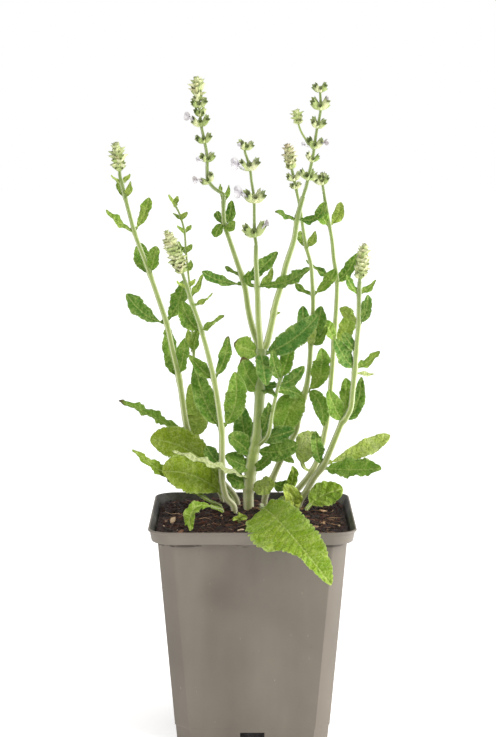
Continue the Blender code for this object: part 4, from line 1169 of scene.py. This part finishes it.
def tube(bm, line, radii, sides, square, looks):
    """A closed tube along a line, round or with square grooved sides."""
    rings = len(line)
    frames = list(frames_along(line))
    travelled = [0.0]
    for a, b in zip(line, line[1:]):
        travelled.append(travelled[-1] + (b - a).length)
    made = bmesh.ops.create_grid(bm, x_segments=sides, y_segments=rings + 1, size=1.0)["verts"]
    seam = []
    for vert in made:
        row = round((vert.co.y + 1) / 2 * (rings + 1))
        step = round((vert.co.x + 1) / 2 * sides)
        index = min(max(row - 1, 0), rings - 1)
        angle = -2 * math.pi * (step % sides) / sides
        corner = math.cos(angle * 4)
        radius = radii[index] * (1 - square + square * corner)
        if row in (0, rings + 1):
            radius = 0.0
        if row in (0, rings + 1) or step in (0, sides):
            seam.append(vert)
        _, side, other = frames[index]
        vert.co = line[index] + (side * math.cos(angle) + other * math.sin(angle)) * radius
        mark(bm, vert, ((corner + 1) / 2, travelled[index], angle), looks(index / (rings - 1)))
    bmesh.ops.remove_doubles(bm, verts=seam, dist=WELD)


Shape = namedtuple("Shape", "points faces places")


def shape_from(bm):
    """A small shape, kept to be copied many times."""
    bm.verts.index_update()
    layer = bm.verts.layers.float_vector["place"]
    points = np.array([vert.co[:] for vert in bm.verts])
    places = np.array([vert[layer][:] for vert in bm.verts])
    faces = [[vert.index for vert in face.verts] for face in bm.faces]
    bm.free()
    return Shape(points, faces, places)


class Copies:
    """Many copies of small shapes, gathered in one piece."""

    def __init__(self):
        self.points, self.places, self.looks, self.faces = [], [], [], []
        self.count = 0

    def add(self, shape, matrix, look):
        """One copy of a shape: where it goes and what it looks like."""
        placing = np.array(matrix)
        self.points.append(shape.points @ placing[:3, :3].T + placing[:3, 3])
        self.places.append(shape.places)
        self.looks.append(np.tile(look, (len(shape.points), 1)))
        self.faces.extend([index + self.count for index in face] for face in shape.faces)
        self.count += len(shape.points)

    def piece(self, name, look, slot, nodes, sharp=50):
        """The finished piece made of all the copies."""
        mesh = bpy.data.meshes.new(name)
        mesh.from_pydata(np.vstack(self.points), [], self.faces)
        for key, rows in (("place", self.places), ("look", self.looks)):
            layer = mesh.attributes.new(key, "FLOAT_VECTOR", "POINT")
            layer.data.foreach_set("vector", np.vstack(rows).ravel())
        piece_of(mesh, name, [look], nodes, sharp)


def standing(foot, along, facing, length, width=None):
    """Places a shape that stands on Z and faces Y: its foot, its direction, where it faces and its size."""
    up = along.normalized()
    outward = (facing - up * facing.dot(up)).normalized()
    right = outward.cross(up)
    width = width or length
    turn = Matrix((right * width, outward * width, up * length)).transposed().to_4x4()
    return Matrix.Translation(foot) @ turn


def scale_shape(width, cup, bend, thickness, columns=4, rows=6, tip=0.85):
    """A bract or a petal, one unit high: cupped across and bent along its length."""
    bm = marked_bmesh()
    seam = []
    for under in (0, 1):
        made = bmesh.ops.create_grid(bm, x_segments=columns, y_segments=rows, size=1.0)["verts"]
        for vert in made:
            across, t = vert.co.x, (vert.co.y + 1) / 2
            run = (SCALE_FOOT + (1 - SCALE_FOOT) * t) ** SCALE_SWELLING
            half = width * max(0.0, math.sin(math.pi * run)) ** tip
            if abs(across) > 0.999 or t in (0.0, 1.0):
                seam.append(vert)
            ends = min(1.0, SCALE_ENDS * t, SCALE_ENDS * (1 - t))
            skin = thickness * (1 - across**4) * (0.5 - under) * ends
            vert.co = Vector((half * across, skin - cup * half * across * across + bend * t * t, t))
            mark(bm, vert, (1 - abs(across), t, 0), (0, 0, 0))
        faces = {face for vert in made for face in vert.link_faces}
        if not under:
            bmesh.ops.reverse_faces(bm, faces=list(faces))
    bmesh.ops.remove_doubles(bm, verts=seam, dist=SHAPE_WELD)
    return shape_from(bm)


def calyx_shape():
    """A ribbed, two-lipped bell on a short stalk, one unit high, open at its mouth."""
    bm = marked_bmesh()
    profile = CALYX_OUTSIDE + CALYX_INSIDE
    verts = [bm.verts.new((radius, 0, height)) for radius, height in profile]
    edges = [bm.edges.new(pair) for pair in zip(verts, verts[1:])]
    around = {"cent": (0, 0, 0), "axis": (0, 0, 1), "angle": 2 * math.pi, "steps": CALYX_SIDES}
    bmesh.ops.spin(bm, geom=verts + edges, use_merge=True, **around)
    bmesh.ops.remove_doubles(bm, verts=bm.verts[:], dist=SHAPE_WELD)
    for vert in bm.verts:
        hidden = any(math.dist((vert.co.xy.length, vert.co.z), spot) < 0.001 for spot in CALYX_INSIDE)
        step = round(math.atan2(vert.co.y, vert.co.x) / (2 * math.pi) * CALYX_SIDES) % CALYX_SIDES
        ridge = step % 2
        height = vert.co.z
        mouth = max(0.0, (height - MOUTH_FROM) / MOUTH_DEPTH)
        horn = CALYX_HORN if ridge else -CALYX_NOTCH
        lip = horn * mouth + LIP_RISE * mouth * vert.co.y
        if height > FLUTED_FROM:
            vert.co.x *= CALYX_FLUTES[ridge]
            vert.co.y *= CALYX_FLUTES[ridge]
        vert.co.z += lip
        vert.co.y += CALYX_BOW * height * height
        mark(bm, vert, (ridge, min(1.0, height / CALYX_OUTSIDE[-1][1]), hidden), (0, 0, 0))
    bmesh.ops.recalc_face_normals(bm, faces=bm.faces[:])
    return shape_from(bm)


def hair_shape():
    """A hair, one unit high."""
    bm = marked_bmesh()
    bmesh.ops.create_cone(
        bm, cap_ends=True, segments=3, radius1=1, radius2=0, depth=1.0, matrix=Matrix.Translation((0, 0, 0.5))
    )
    bmesh.ops.remove_doubles(bm, verts=bm.verts[:], dist=SHAPE_WELD)
    return shape_from(bm)


def crumb_shape(draw, flatness):
    """A crumb of peat, about one unit across."""
    bm = marked_bmesh()
    bmesh.ops.create_icosphere(bm, subdivisions=1, radius=0.5)
    for vert in bm.verts:
        vert.co *= draw.uniform(0.65, 1.25)
        vert.co.z *= flatness
    return shape_from(bm)


def chip_shape(draw):
    """A splinter of bark, one unit long."""
    bm = marked_bmesh()
    bmesh.ops.create_cube(bm, size=1.0)
    bmesh.ops.subdivide_edges(bm, edges=bm.edges[:], cuts=1, use_grid_fill=True)
    for vert in bm.verts:
        vert.co = vert.co * 0.5 + vert.co.normalized() * 0.3
        vert.co.x *= 1 + draw.uniform(-0.15, 0.15)
        vert.co.y *= 0.42 * draw.uniform(0.75, 1.2)
        vert.co.z *= 0.22 * draw.uniform(0.7, 1.3)
    return shape_from(bm)


def thread_shape(draw):
    """A curled thread of coir, one unit long."""
    bm = marked_bmesh()
    bend, twist = draw.uniform(-0.7, 0.7), draw.uniform(-0.5, 0.5)
    line = []
    for index in range(7):
        t = index / 6 - 0.5
        line.append(Vector((t, bend * (t * t - 0.12), 0.25 * twist * math.sin(t * 7))))
    tube(bm, line, [0.018 * (1.1 - abs(index / 3 - 1)) for index in range(7)], 3, 0, lambda share: (0, 0, 0))
    return shape_from(bm)


def outward(along, angle):
    """A direction square to a stem, at an angle round it from the right."""
    right = Vector((1, 0, 0))
    right = (right - along * right.dot(along)).normalized()
    return right * math.cos(angle) + along.cross(right) * math.sin(angle)


def outline(half, corner, rounding):
    """Points round a square whose corners are cut at rounding 0 and round at 1, with one beside each."""
    points = []
    for quarter in range(4):
        turn = Matrix.Rotation(math.pi / 2 * quarter, 3, "Z")
        centre = Vector((half - corner, half - corner, 0))
        points.append(turn @ (centre + Vector((corner, -BODY_SUPPORT, 0))))
        for step in range(CORNER_STEPS + 1):
            share = step / CORNER_STEPS
            angle = math.pi / 2 * share
            arc = Vector((math.cos(angle), math.sin(angle), 0)) * corner
            cut = Vector((1 - share, share, 0)) * corner
            points.append(turn @ (centre + cut.lerp(arc, rounding)))
        points.append(turn @ (centre + Vector((-BODY_SUPPORT, corner, 0))))
    return points


def raise_walls(bm, face, stages):
    """Raises a face through stages, each a half width, a corner, its rounding and a height."""
    for half, corner, rounding, height in stages:
        made = bmesh.ops.extrude_discrete_faces(bm, faces=[face])
        face = made["faces"][0]
        for loop, place in zip(face.loops, outline(half, corner, rounding)):
            loop.vert.co = place + Vector((0, 0, height))


def body_half(height):
    """Half the width of the pot's body at a height."""
    return BASE_HALF + (BODY_HALF_TOP - BASE_HALF) * (height / UNDER_RIM)


def pot_stages():
    """The pot's profile, up the outside, round the lip and down the inside, with close rings at its turns."""
    near, fine = TURN_RING, 0.1 * MM
    foot, middle, top = (body_half(height) for height in (FOOT_HEIGHT, UNDER_RIM * 0.5, UNDER_RIM))
    floor = body_half(FLOOR_THICKNESS) - FOOT_STEP - POT_WALL
    cup = RIM_HALF - POT_WALL - 0.4 * MM
    ledge = UNDER_RIM + POT_WALL + FOOT_STEP
    under_lip = POT_HEIGHT - LIP_HEIGHT
    cut, shoulder = (BODY_CORNER, CUT_ROUNDING), (BODY_CORNER, SHOULDER_ROUNDING)
    rim, cup_corner = (RIM_CORNER, 1.0), (RIM_CORNER - POT_WALL, 1.0)
    return [
        (body_half(0) - FOOT_STEP, *cut, near),
        (foot - FOOT_STEP, *cut, FOOT_HEIGHT - near),
        (foot - FOOT_STEP * 0.8, *cut, FOOT_HEIGHT),
        (foot - FOOT_STEP * 0.2, *cut, FOOT_HEIGHT + FOOT_STEP),
        (foot, *cut, FOOT_HEIGHT + FOOT_STEP + near),
        (middle, BODY_CORNER, SHOULDER_ROUNDING / 2, UNDER_RIM * 0.5),
        (top - fine, *shoulder, UNDER_RIM - 1.2 * MM),
        (top, *shoulder, UNDER_RIM - near),
        (top + near, BODY_CORNER + near, 0.4, UNDER_RIM),
        (RIM_HALF - near, *rim, UNDER_RIM + fine),
        (RIM_HALF, *rim, UNDER_RIM + FOOT_STEP),
        (RIM_HALF + fine, *rim, UNDER_RIM + 2 * FOOT_STEP),
        (LIP_HALF - 0.9 * MM, *rim, under_lip - near),
        (LIP_HALF - 0.6 * MM, *rim, under_lip),
        (LIP_HALF - fine, *rim, POT_HEIGHT - LIP_HEIGHT * 0.8),
        (LIP_HALF, *rim, POT_HEIGHT - LIP_HEIGHT * 0.5),
        (LIP_HALF - fine, *rim, POT_HEIGHT - LIP_HEIGHT * 0.2),
        (LIP_HALF - near, *rim, POT_HEIGHT),
        (LIP_HALF - LIP_WALL + 0.2 * MM, *rim, POT_HEIGHT),
        (LIP_HALF - LIP_WALL, *rim, POT_HEIGHT - 0.25 * MM),
        (cup + near, *cup_corner, ledge + 2 * near),
        (cup, *cup_corner, ledge),
        (top - POT_WALL, *shoulder, UNDER_RIM),
        (floor, *cut, FLOOR_THICKNESS + near),
        (floor - near, *cut, FLOOR_THICKNESS),
    ]


def notch_and_drain_cutters(pieces):
    """A block through the foot of each side and a round hole near each corner of the floor."""
    for side in range(4):
        turn = Matrix.Rotation(math.pi / 2 * side, 4, "Z")
        place = turn @ Matrix.Translation((0, -BASE_HALF, NOTCH_HEIGHT / 2 - CUT_PAST))
        size = Matrix.Diagonal((NOTCH_WIDTH, NOTCH_REACH, NOTCH_HEIGHT + 2 * CUT_PAST, 1))
        notch = bmesh.new()
        bmesh.ops.create_cube(notch, size=1.0, matrix=place @ size)
        drain = bmesh.new()
        bmesh.ops.create_cone(
            drain,
            cap_ends=True,
            segments=DRAIN_SIDES,
            radius1=DRAIN_RADIUS,
            radius2=DRAIN_RADIUS,
            depth=6 * MM,
            matrix=turn @ Matrix.Translation((DRAIN_RING, DRAIN_RING, 0)),
        )
        for bm in (notch, drain):
            pieces.objects.link(bpy.data.objects.new("cutter", mesh_from(bm, "cutter")))


def make_pot(outer, inner):
    """The moulded shell, with its notches and drain holes cut, and its inside in a look of painted shade."""
    bm = bmesh.new()
    sole = outline(body_half(0) - FOOT_STEP - 0.3 * MM, BODY_CORNER, CUT_ROUNDING)
    face = bm.faces.new([bm.verts.new(place) for place in sole])
    raise_walls(bm, face, pot_stages())
    bmesh.ops.holes_fill(bm, edges=bm.edges[:])
    bmesh.ops.recalc_face_normals(bm, faces=bm.faces[:])
    body = bpy.data.objects.new("shell", mesh_from(bm, "shell"))
    bpy.context.scene.collection.objects.link(body)
    cutters = bpy.data.collections.new("cutters")
    bpy.context.scene.collection.children.link(cutters)
    notch_and_drain_cutters(cutters)
    boolean = body.modifiers.new("Cut", "BOOLEAN")
    boolean.operation = "DIFFERENCE"
    boolean.operand_type = "COLLECTION"
    boolean.solver = "EXACT"
    boolean.collection = cutters
    graph = bpy.context.evaluated_depsgraph_get()
    cut = bpy.data.meshes.new_from_object(body.evaluated_get(graph))
    for old in [*cutters.objects, body]:
        bpy.data.objects.remove(old)
    bpy.data.collections.remove(cutters)
    bm = bmesh.new()
    bm.from_mesh(cut)
    for face in bm.faces:
        middle = face.calc_center_median()
        flat = Vector((middle.x, middle.y, 0))
        deep = max(abs(middle.x), abs(middle.y)) < LIP_HALF - LIP_WALL - 0.1 * MM
        inward = face.normal.dot(flat.normalized()) < -0.1
        face.material_index = int(deep and inward and middle.z > FLOOR_THICKNESS)
    piece_from(bm, "pot_shell", [outer, inner], ["pot"], sharp=32)


def in_soil(draw, edge):
    """A random place on the medium, inside its edge."""
    while True:
        x, y = draw.uniform(-1, 1), draw.uniform(-1, 1)
        if abs(x) ** SOIL_SQUARENESS + abs(y) ** SOIL_SQUARENESS < 1:
            return x * (SOIL_HALF - edge), y * (SOIL_HALF - edge)


def make_peat(look):
    """The medium: its crumbled top, and its sides clear of the pot's walls."""
    bm = bmesh.new()
    bmesh.ops.create_grid(bm, x_segments=SOIL_CELLS, y_segments=SOIL_CELLS, size=1.0)
    for vert in bm.verts:
        x, y = vert.co.x, vert.co.y
        squareness = max(abs(x), abs(y)) ** SOIL_SQUARENESS
        pinch = 1 - SOIL_PINCH * squareness * min(abs(x), abs(y)) ** SOIL_SQUARENESS
        x, y = x * SOIL_HALF * pinch, y * SOIL_HALF * pinch
        vert.co = Vector((x, y, crumbled_height(x, y)))
    rim_edges = [edge for edge in bm.edges if edge.is_boundary]
    floor = FLOOR_THICKNESS + GAP
    narrow = body_half(floor) - FOOT_STEP - POT_WALL - 2 * GAP
    inner = body_half(UNDER_RIM) - POT_WALL - GAP
    half = SOIL_HALF
    for height, wide in ((UNDER_RIM + 2.3 * MM, half), (UNDER_RIM + 0.4 * MM, inner), (floor, narrow)):
        made = bmesh.ops.extrude_edge_only(bm, edges=rim_edges)["geom"]
        for vert in (g for g in made if isinstance(g, bmesh.types.BMVert)):
            vert.co = Vector((vert.co.x * wide / half, vert.co.y * wide / half, height))
        half = wide
        rim_edges = [g for g in made if isinstance(g, bmesh.types.BMEdge)]
    bmesh.ops.contextual_create(bm, geom=rim_edges)
    bmesh.ops.recalc_face_normals(bm, faces=bm.faces[:])
    piece_from(bm, "peat_surface", [look], ["growing_medium"], sharp=180)


def lying(x, y, lift, draw, size, tilt=0.35):
    """Places a shape a little above the medium, turned at random and a little tilted."""
    turn = Matrix.Rotation(draw.uniform(0, 2 * math.pi), 4, "Z")
    lean = Matrix.Rotation(draw.uniform(-tilt, tilt), 4, "Y")
    lean @= Matrix.Rotation(draw.uniform(-tilt, tilt), 4, "X")
    place = Matrix.Translation((x, y, crumbled_height(x, y) + lift))
    return place @ turn @ lean @ Matrix.Scale(size, 4)


def make_litter(look):
    """Crumbs, chips, threads and pale grains that lie on the medium."""
    draw = random.Random("litter")
    crumbs = [crumb_shape(draw, draw.uniform(0.55, 0.9)) for _ in range(CRUMB_KINDS)]
    chips = [chip_shape(draw) for _ in range(CHIP_KINDS)]
    threads = [thread_shape(draw) for _ in range(THREAD_KINDS)]
    loose = Copies()
    for _ in range(CRUMB_COUNT):
        x, y = in_soil(draw, 1.2 * MM)
        size = draw.uniform(0.6, 2.2) * MM
        shade = (draw.uniform(0.05, 0.5), 0, 0)
        loose.add(draw.choice(crumbs), lying(x, y, size * 0.1, draw, size), shade)
    for _ in range(CHIP_COUNT):
        x, y = in_soil(draw, 4 * MM)
        size = draw.uniform(2.2, 6.0) * MM
        shade = (draw.choice(CHIP_SHADES), 0, 0)
        loose.add(draw.choice(chips), lying(x, y, size * 0.08, draw, size), shade)
    for x, y, size, shade in PALE_CHIPS:
        place = lying(x * MM, y * MM, size * 0.12 * MM, draw, size * MM)
        loose.add(chips[0], place, (shade, 0, 0))
    for _ in range(GRAIN_COUNT):
        x, y = in_soil(draw, 3 * MM)
        size = draw.uniform(0.9, 1.9) * MM
        loose.add(crumbs[0], lying(x, y, size * 0.25, draw, size), (draw.uniform(0.9, 1.1), 0, 0))
    loose.piece("peat_litter", look, "peat", ["growing_medium"], sharp=30)
    coir = Copies()
    for _ in range(FIBRE_COUNT):
        x, y = in_soil(draw, 6 * MM)
        size = draw.uniform(4, 13) * MM
        place = lying(x, y, 0.35 * MM, draw, size, 0.16)
        coir.add(draw.choice(threads), place, (draw.choice(FIBRE_SHADES), 0, 0))
    coir.piece("coir_threads", look, "peat", ["growing_medium"], sharp=180)


class Plant:
    """The looks and small shapes that the plant's pieces share."""

    def __init__(self):
        self.leaf = leaf_look("sage_leaf", STEM_LEAF_GREENS, VEIN_PITCH, cell_scale=950, veined=0.8)
        self.basal = leaf_look("basal_leaf", BASAL_LEAF_GREENS, BASAL_VEIN_PITCH, cell_scale=700, veined=1.0)
        self.stalk = stalk_look()
        self.down = down_look()
        self.head = head_look()
        self.corolla = corolla_look()
        self.hair = hair_shape()
        self.calyx = calyx_shape()
        self.bracts = [
            scale_shape(width=0.34, cup=0.9, bend=0.18, thickness=0.06),
            scale_shape(width=0.3, cup=1.0, bend=-0.1, thickness=0.06),
        ]
        self.boat = scale_shape(width=0.34, cup=1.1, bend=-0.4, thickness=0.06)
        self.hood = scale_shape(width=0.4, cup=1.3, bend=-0.25, thickness=0.08, tip=0.4)
        self.lip = scale_shape(width=0.48, cup=0.5, bend=0.2, thickness=0.08, tip=0.4)

    def add_hairs(self, copies, line, radii, draw):
        """Down along a stem."""
        frames = list(frames_along(line))
        for index in range(1, len(line) - 1):
            stretch = (line[index + 1] - line[index]).length
            for _ in range(round(stretch / HAIR_SPACING)):
                along, side, other = frames[index]
                angle = draw.uniform(0, 2 * math.pi)
                square_radius = 1 - STALK_SQUARE + STALK_SQUARE * math.cos(4 * angle)
                radius = radii[index] * square_radius - HAIR_SUNK
                square = side * math.cos(angle) + other * math.sin(angle)
                foot = line[index].lerp(line[index + 1], draw.random()) + square * radius
                aim = square + along * draw.uniform(-0.5, 0.5)
                place = standing(foot, aim, along, HAIR_LENGTH * draw.uniform(0.5, 1.2), HAIR_RADIUS)
                copies.add(self.hair, place, (0, 0, 0))


def swollen(axis, line, nodes):
    """A stem's radius at each point of its line, thicker where leaves stand."""
    total = sum((b - a).length for a, b in zip(line, line[1:]))
    radii, travelled, last = [], 0.0, line[0]
    for point in line:
        travelled += (point - last).length
        last = point
        share = travelled / total
        radius = (axis.thick[0] + (axis.thick[1] - axis.thick[0]) * share) / 2 * MM
        near = max((math.exp(-(((point - node).length / NODE_REACH) ** 2)) for node in nodes), default=0.0)
        radii.append(radius * STEM_FULLNESS * (1 + NODE_SWELL * near))
    return radii


def make_stem(name, plant):
    """A leafy stem: its square downy stalk, its branches and its leaves."""
    draw = random.Random(name)
    stalk, blades, down = marked_bmesh(), marked_bmesh(), Copies()
    for number, branch in enumerate(STEMS[name]):
        points = [seen(*place) for place in branch.route]
        if number == 0:
            points = root_points(GROUND[name]) + points
        axis = Axis(points, branch.thick)
        line = smooth_line(points, STEM_RING)
        nodes = [axis.at_row(leaf.row)[0] for leaf in branch.leaves]
        radii = swollen(axis, line, nodes)
        low = 0.0 if number == 0 else 0.4
        shade = draw.uniform(0, 5)
        tube(stalk, line, radii, STEM_SIDES, STALK_SQUARE, lambda share: (low + (1 - low) * share, shade, 0))
        bare = BURIED_RINGS if number == 0 else 0
        plant.add_hairs(down, line[bare:], radii[bare:], draw)
        for leaf in branch.leaves:
            start, _ = axis.at_row(leaf.row)
            tip = seen(*leaf.tip, leaf.depth)
            middle = halfway(leaf.middle, start, tip)
            columns = LEAF_COLUMNS if leaf.width > SMALL_LEAF else LEAF_COLUMNS // 2
            LeafForm(start, middle, tip, leaf, VEIN_PITCH, columns).add_to(blades)
    piece_from(stalk, name + "_stalk", [plant.stalk], [name])
    piece_from(blades, name + "_leaves", [plant.leaf], [name])
    down.piece(name + "_down", plant.down, "stem_and_leaf", [name])


def add_whorl(copies, plant, whorl, centre, along, draw):
    """Horned calyces in two opposite clusters, with a small leafy bract under each."""
    for cyme in range(2):
        middle = math.pi * (cyme + whorl.turn)
        length = whorl.reach * MM * math.hypot(1, CALYX_RISE)
        for offset, size in FULL_CYME if whorl.count > 2 else THIN_CYME:
            side = outward(along, middle + (offset + draw.uniform(-0.1, 0.1)) * CYME_SPREAD)
            aim = side + along * CALYX_RISE * draw.uniform(0.75, 1.25)
            place = standing(centre, aim, along, length * size * draw.uniform(0.94, 1.06))
            copies.add(plant.calyx, place, (draw.uniform(0.1, 0.85), draw.uniform(0.3, 1.0), 0))
        side = outward(along, middle + draw.uniform(-0.3, 0.3))
        place = standing(centre, side + along * draw.uniform(0.0, 0.4), along * -1, length * BOAT_LENGTH)
        copies.add(plant.boat, place, (draw.uniform(0.0, 0.25), 0.6, 0))


def add_spike(copies, plant, spike, axis, draw, browned=0.0):
    """Overlapping bracts and buds round a dense spike, widest low down and closing at its top."""
    low, along = axis.at_row(spike.low)
    high, _ = axis.at_row(spike.high)
    turns = max(LEAST_TURNS, round((high - low).length / BRACT_PITCH))
    for turn in range(turns):
        share = turn / (turns - 1)
        centre = low.lerp(high, share * SPIKE_FILLED)
        swell = math.sin(math.pi * (SPIKE_FOOT + SPIKE_RUN * share)) ** SPIKE_FULLNESS
        reach = spike.width / 2 * MM * swell
        for index in range(BRACTS_ROUND):
            angle = 2 * math.pi * (index + turn * TURN_SHIFT) / BRACTS_ROUND + draw.uniform(-0.15, 0.15)
            side = outward(along, angle)
            aim = side * reach * draw.uniform(0.85, 1.1) * (1 - TOP_CLOSING * share**2)
            aim += along * reach * (BRACT_RISE + TOP_RISE * share)
            horned = draw.random() < HORNED_SHARE - HORNED_FALL * share
            shape = plant.calyx if horned else draw.choice(plant.bracts)
            facing = along if horned else side - along * BRACT_LEAN
            length = aim.length * (1.0 if horned else BRACT_OVER)
            place = standing(centre, aim, facing, length, length * (1.0 + FOOT_BREADTH * (1 - share)))
            tint = 0.5 + 0.2 * share + draw.uniform(-0.35, 0.25)
            dark, fading = draw.choice((0.2, 0.3, 0.9)), draw.choice((0, 0, 0, 0, 0.4))
            copies.add(shape, place, (tint, dark, max(fading, browned * share)))


def add_bloom(copies, plant, bloom, axis, draw):
    """A small soft corolla: a slim tube from its calyx, a rounded hood, a rounded lip and a dark style."""
    centre, _ = axis.at_row(bloom.row)
    mouth = seen(*bloom.mouth, bloom.depth)
    aim = (mouth - centre).normalized()
    size = bloom.size * MM
    faded = draw.choice((0.0, 0.1, 0.3))
    up = Vector((0, 0, 1))
    neck = mouth - aim * size * NECK_SHARE
    tube_length = (neck - centre).length * TUBE_OVER
    slim_tube = standing(centre, neck - centre, up, tube_length, size * TUBE_BREADTH)
    copies.add(plant.calyx, slim_tube, (faded, 0, 0))
    front = EYE - mouth
    upper, lower = aim + up * LIPS_APART, aim - up * LIPS_APART
    copies.add(plant.hood, standing(neck, upper, front, size), (faded, 0, 0))
    copies.add(plant.lip, standing(neck, lower, front, size), (faded, 0, 0))
    style = standing(neck, upper, up, size * STYLE_OVER, STYLE_RADIUS)
    copies.add(plant.hair, style, (0, 0.5, 0))


def make_head(name, plant):
    """A flower head: its axis, its whorls, its spikes, its open corollas and its down."""
    head = HEADS[name]
    draw = random.Random(name)
    below, top = (seen(*place) for place in STEMS[head.stem][head.branch].route[-2:])
    onward = (top - below).normalized()
    foot = [top - onward * GAP, top + onward * HEAD_FOOT]
    axis = Axis(foot + [seen(*place) for place in head.route], HEAD_THICK)
    line = smooth_line(axis.points, STEM_RING)
    radii = swollen(axis, line, [])
    stalk, parts, down = marked_bmesh(), Copies(), Copies()
    tube(stalk, line, radii, THIN_SIDES, AXIS_SQUARE, lambda share: (1.0, 1.0, 0))
    plant.add_hairs(down, line, radii, draw)
    for whorl in head.whorls:
        add_whorl(parts, plant, whorl, *axis.at_row(whorl.row), draw)
    for spike in head.spikes:
        add_spike(parts, plant, spike, axis, draw, BROWNED_TOPS.get(name, 0.0))
    for sprig in head.sprigs:
        fork, _ = axis.at_row(sprig.row)
        side_axis = Axis([fork] + [seen(*place) for place in sprig.route], SPRIG_THICK)
        side_line = smooth_line(side_axis.points, STEM_RING)
        side_radii = swollen(side_axis, side_line, [])
        tube(stalk, side_line, side_radii, THIN_SIDES, AXIS_SQUARE, lambda share: (0.85, 4.0, 0))
        add_spike(parts, plant, sprig.spike, side_axis, draw)
    piece_from(stalk, name + "_axis", [plant.stalk], [name])
    parts.piece(name + "_bracts", plant.head, "flower_spike", [name], sharp=70)
    down.piece(name + "_down", plant.down, "flower_spike", [name])
    if name in BLOOMS:
        flowers = Copies()
        for bloom in BLOOMS[name]:
            add_bloom(flowers, plant, bloom, axis, draw)
        flowers.piece(name + "_corollas", plant.corolla, "flower_spike", [name], sharp=70)


def make_basal_leaf(name, plant):
    """A leaf of the rosette, with its stalk in the medium."""
    leaf = BASAL_LEAVES[name]
    draw = random.Random(name)
    points = root_points(leaf.ground)
    foot = points[-1]
    tip = seen(*leaf.tip, leaf.depth)
    middle = halfway(leaf.middle, foot, tip)
    form = LeafForm(foot, middle, tip, leaf, BASAL_VEIN_PITCH, BASAL_COLUMNS)
    stalk, down = marked_bmesh(), Copies()
    line = smooth_line(points + [form.midrib(leaf.stalk / 2), form.midrib(leaf.stalk)], STEM_RING)
    radii = swollen(Axis(points, (leaf.thick, leaf.thick * 0.7)), line, [])
    tube(stalk, line, radii, THIN_SIDES, PETIOLE_SQUARE, lambda share: (0.1 + 0.5 * share, 2.0, 0))
    blade = marked_bmesh()
    form.add_to(blade)
    piece_from(stalk, name + "_stalk", [plant.stalk], [name])
    piece_from(blade, name + "_blade", [plant.basal], [name])
    plant.add_hairs(down, line, radii, draw)
    down.piece(name + "_down", plant.down, "basal_leaf", [name])


def make_seedling(plant):
    """A tiny plant with three leaves."""
    points = root_points(SEEDLING_GROUND)
    stalk = marked_bmesh()
    line = smooth_line(points, STEM_RING)
    radii = swollen(Axis(points, SEEDLING_THICK), line, [])
    tube(stalk, line, radii, SEEDLING_SIDES, SEEDLING_SQUARE, lambda share: (0.5, 3.0, 0))
    blades = marked_bmesh()
    top = points[-1] - Vector((0, 0, SEEDLING_DROP))
    for place, turn in SEEDLING_LEAVES:
        tip = seen(*place)
        middle = (top + tip) / 2 + Vector((0, 0, SEEDLING_ARCH))
        leaf = Leaf(0, middle, tip, 0, SEEDLING_WIDTH, turn, 0.8)
        LeafForm(top, middle, tip, leaf, VEIN_PITCH, LEAF_COLUMNS // 2).add_to(blades)
    piece_from(stalk, "seedling_stalk", [plant.stalk], ["seedling"])
    piece_from(blades, "seedling_leaves", [plant.basal], ["seedling"])


def make_studio():
    """A pale floor, an even white surround, soft lights from the right, and the camera at the viewpoint."""
    bm = bmesh.new()
    bmesh.ops.create_circle(bm, cap_ends=True, segments=64, radius=FLOOR_RADIUS)
    mesh = mesh_from(bm, "floor")
    mesh.materials.append(floor_look())
    floor = bpy.data.objects.new("floor", mesh)
    bpy.context.scene.collection.objects.link(floor)

    world = bpy.data.worlds.new("studio")
    world.use_nodes = True
    nodes, links = world.node_tree.nodes, world.node_tree.links
    backdrop = nodes.new("ShaderNodeBackground")
    for shown, strength in ((nodes["Background"], SURROUND_STRENGTH), (backdrop, 1.0)):
        shown.inputs["Color"].default_value = (1, 1, 1, 1)
        shown.inputs["Strength"].default_value = strength
    path = nodes.new("ShaderNodeLightPath")
    chosen = nodes.new("ShaderNodeMixShader")
    links.new(path.outputs["Is Camera Ray"], chosen.inputs[0])
    links.new(nodes["Background"].outputs[0], chosen.inputs[1])
    links.new(backdrop.outputs[0], chosen.inputs[2])
    links.new(chosen.outputs[0], nodes["World Output"].inputs["Surface"])
    bpy.context.scene.world = world

    for name, size, energy, place, aim in LIGHTS:
        lamp = bpy.data.lights.new(name, "AREA")
        lamp.shape = "DISK"
        lamp.size = size
        lamp.energy = energy
        light = bpy.data.objects.new(name, lamp)
        light.location = place
        light.rotation_euler = (Vector(aim) - light.location).to_track_quat("-Z", "Y").to_euler()
        bpy.context.scene.collection.objects.link(light)

    lens = bpy.data.cameras.new("camera")
    lens.sensor_width = SENSOR_WIDTH
    lens.lens = FOCAL_PX / PICTURE_HEIGHT_PX * SENSOR_WIDTH
    lens.clip_start = NEAREST_SEEN
    camera = bpy.data.objects.new("camera", lens)
    camera.location = EYE
    camera.rotation_euler = (math.pi / 2 - EYE_PITCH, 0, 0)
    bpy.context.scene.collection.objects.link(camera)
    bpy.context.scene.camera = camera
    bpy.context.scene.view_settings.view_transform = "Standard"


def main():
    make_studio()
    make_pot(plastic_look(), inside_shade_plastic_look())
    make_peat(peat_look())
    make_litter(bark_look())
    plant = Plant()
    for name in STEMS:
        make_stem(name, plant)
    for name in HEADS:
        make_head(name, plant)
    for name in BASAL_LEAVES:
        make_basal_leaf(name, plant)
    make_seedling(plant)


main()
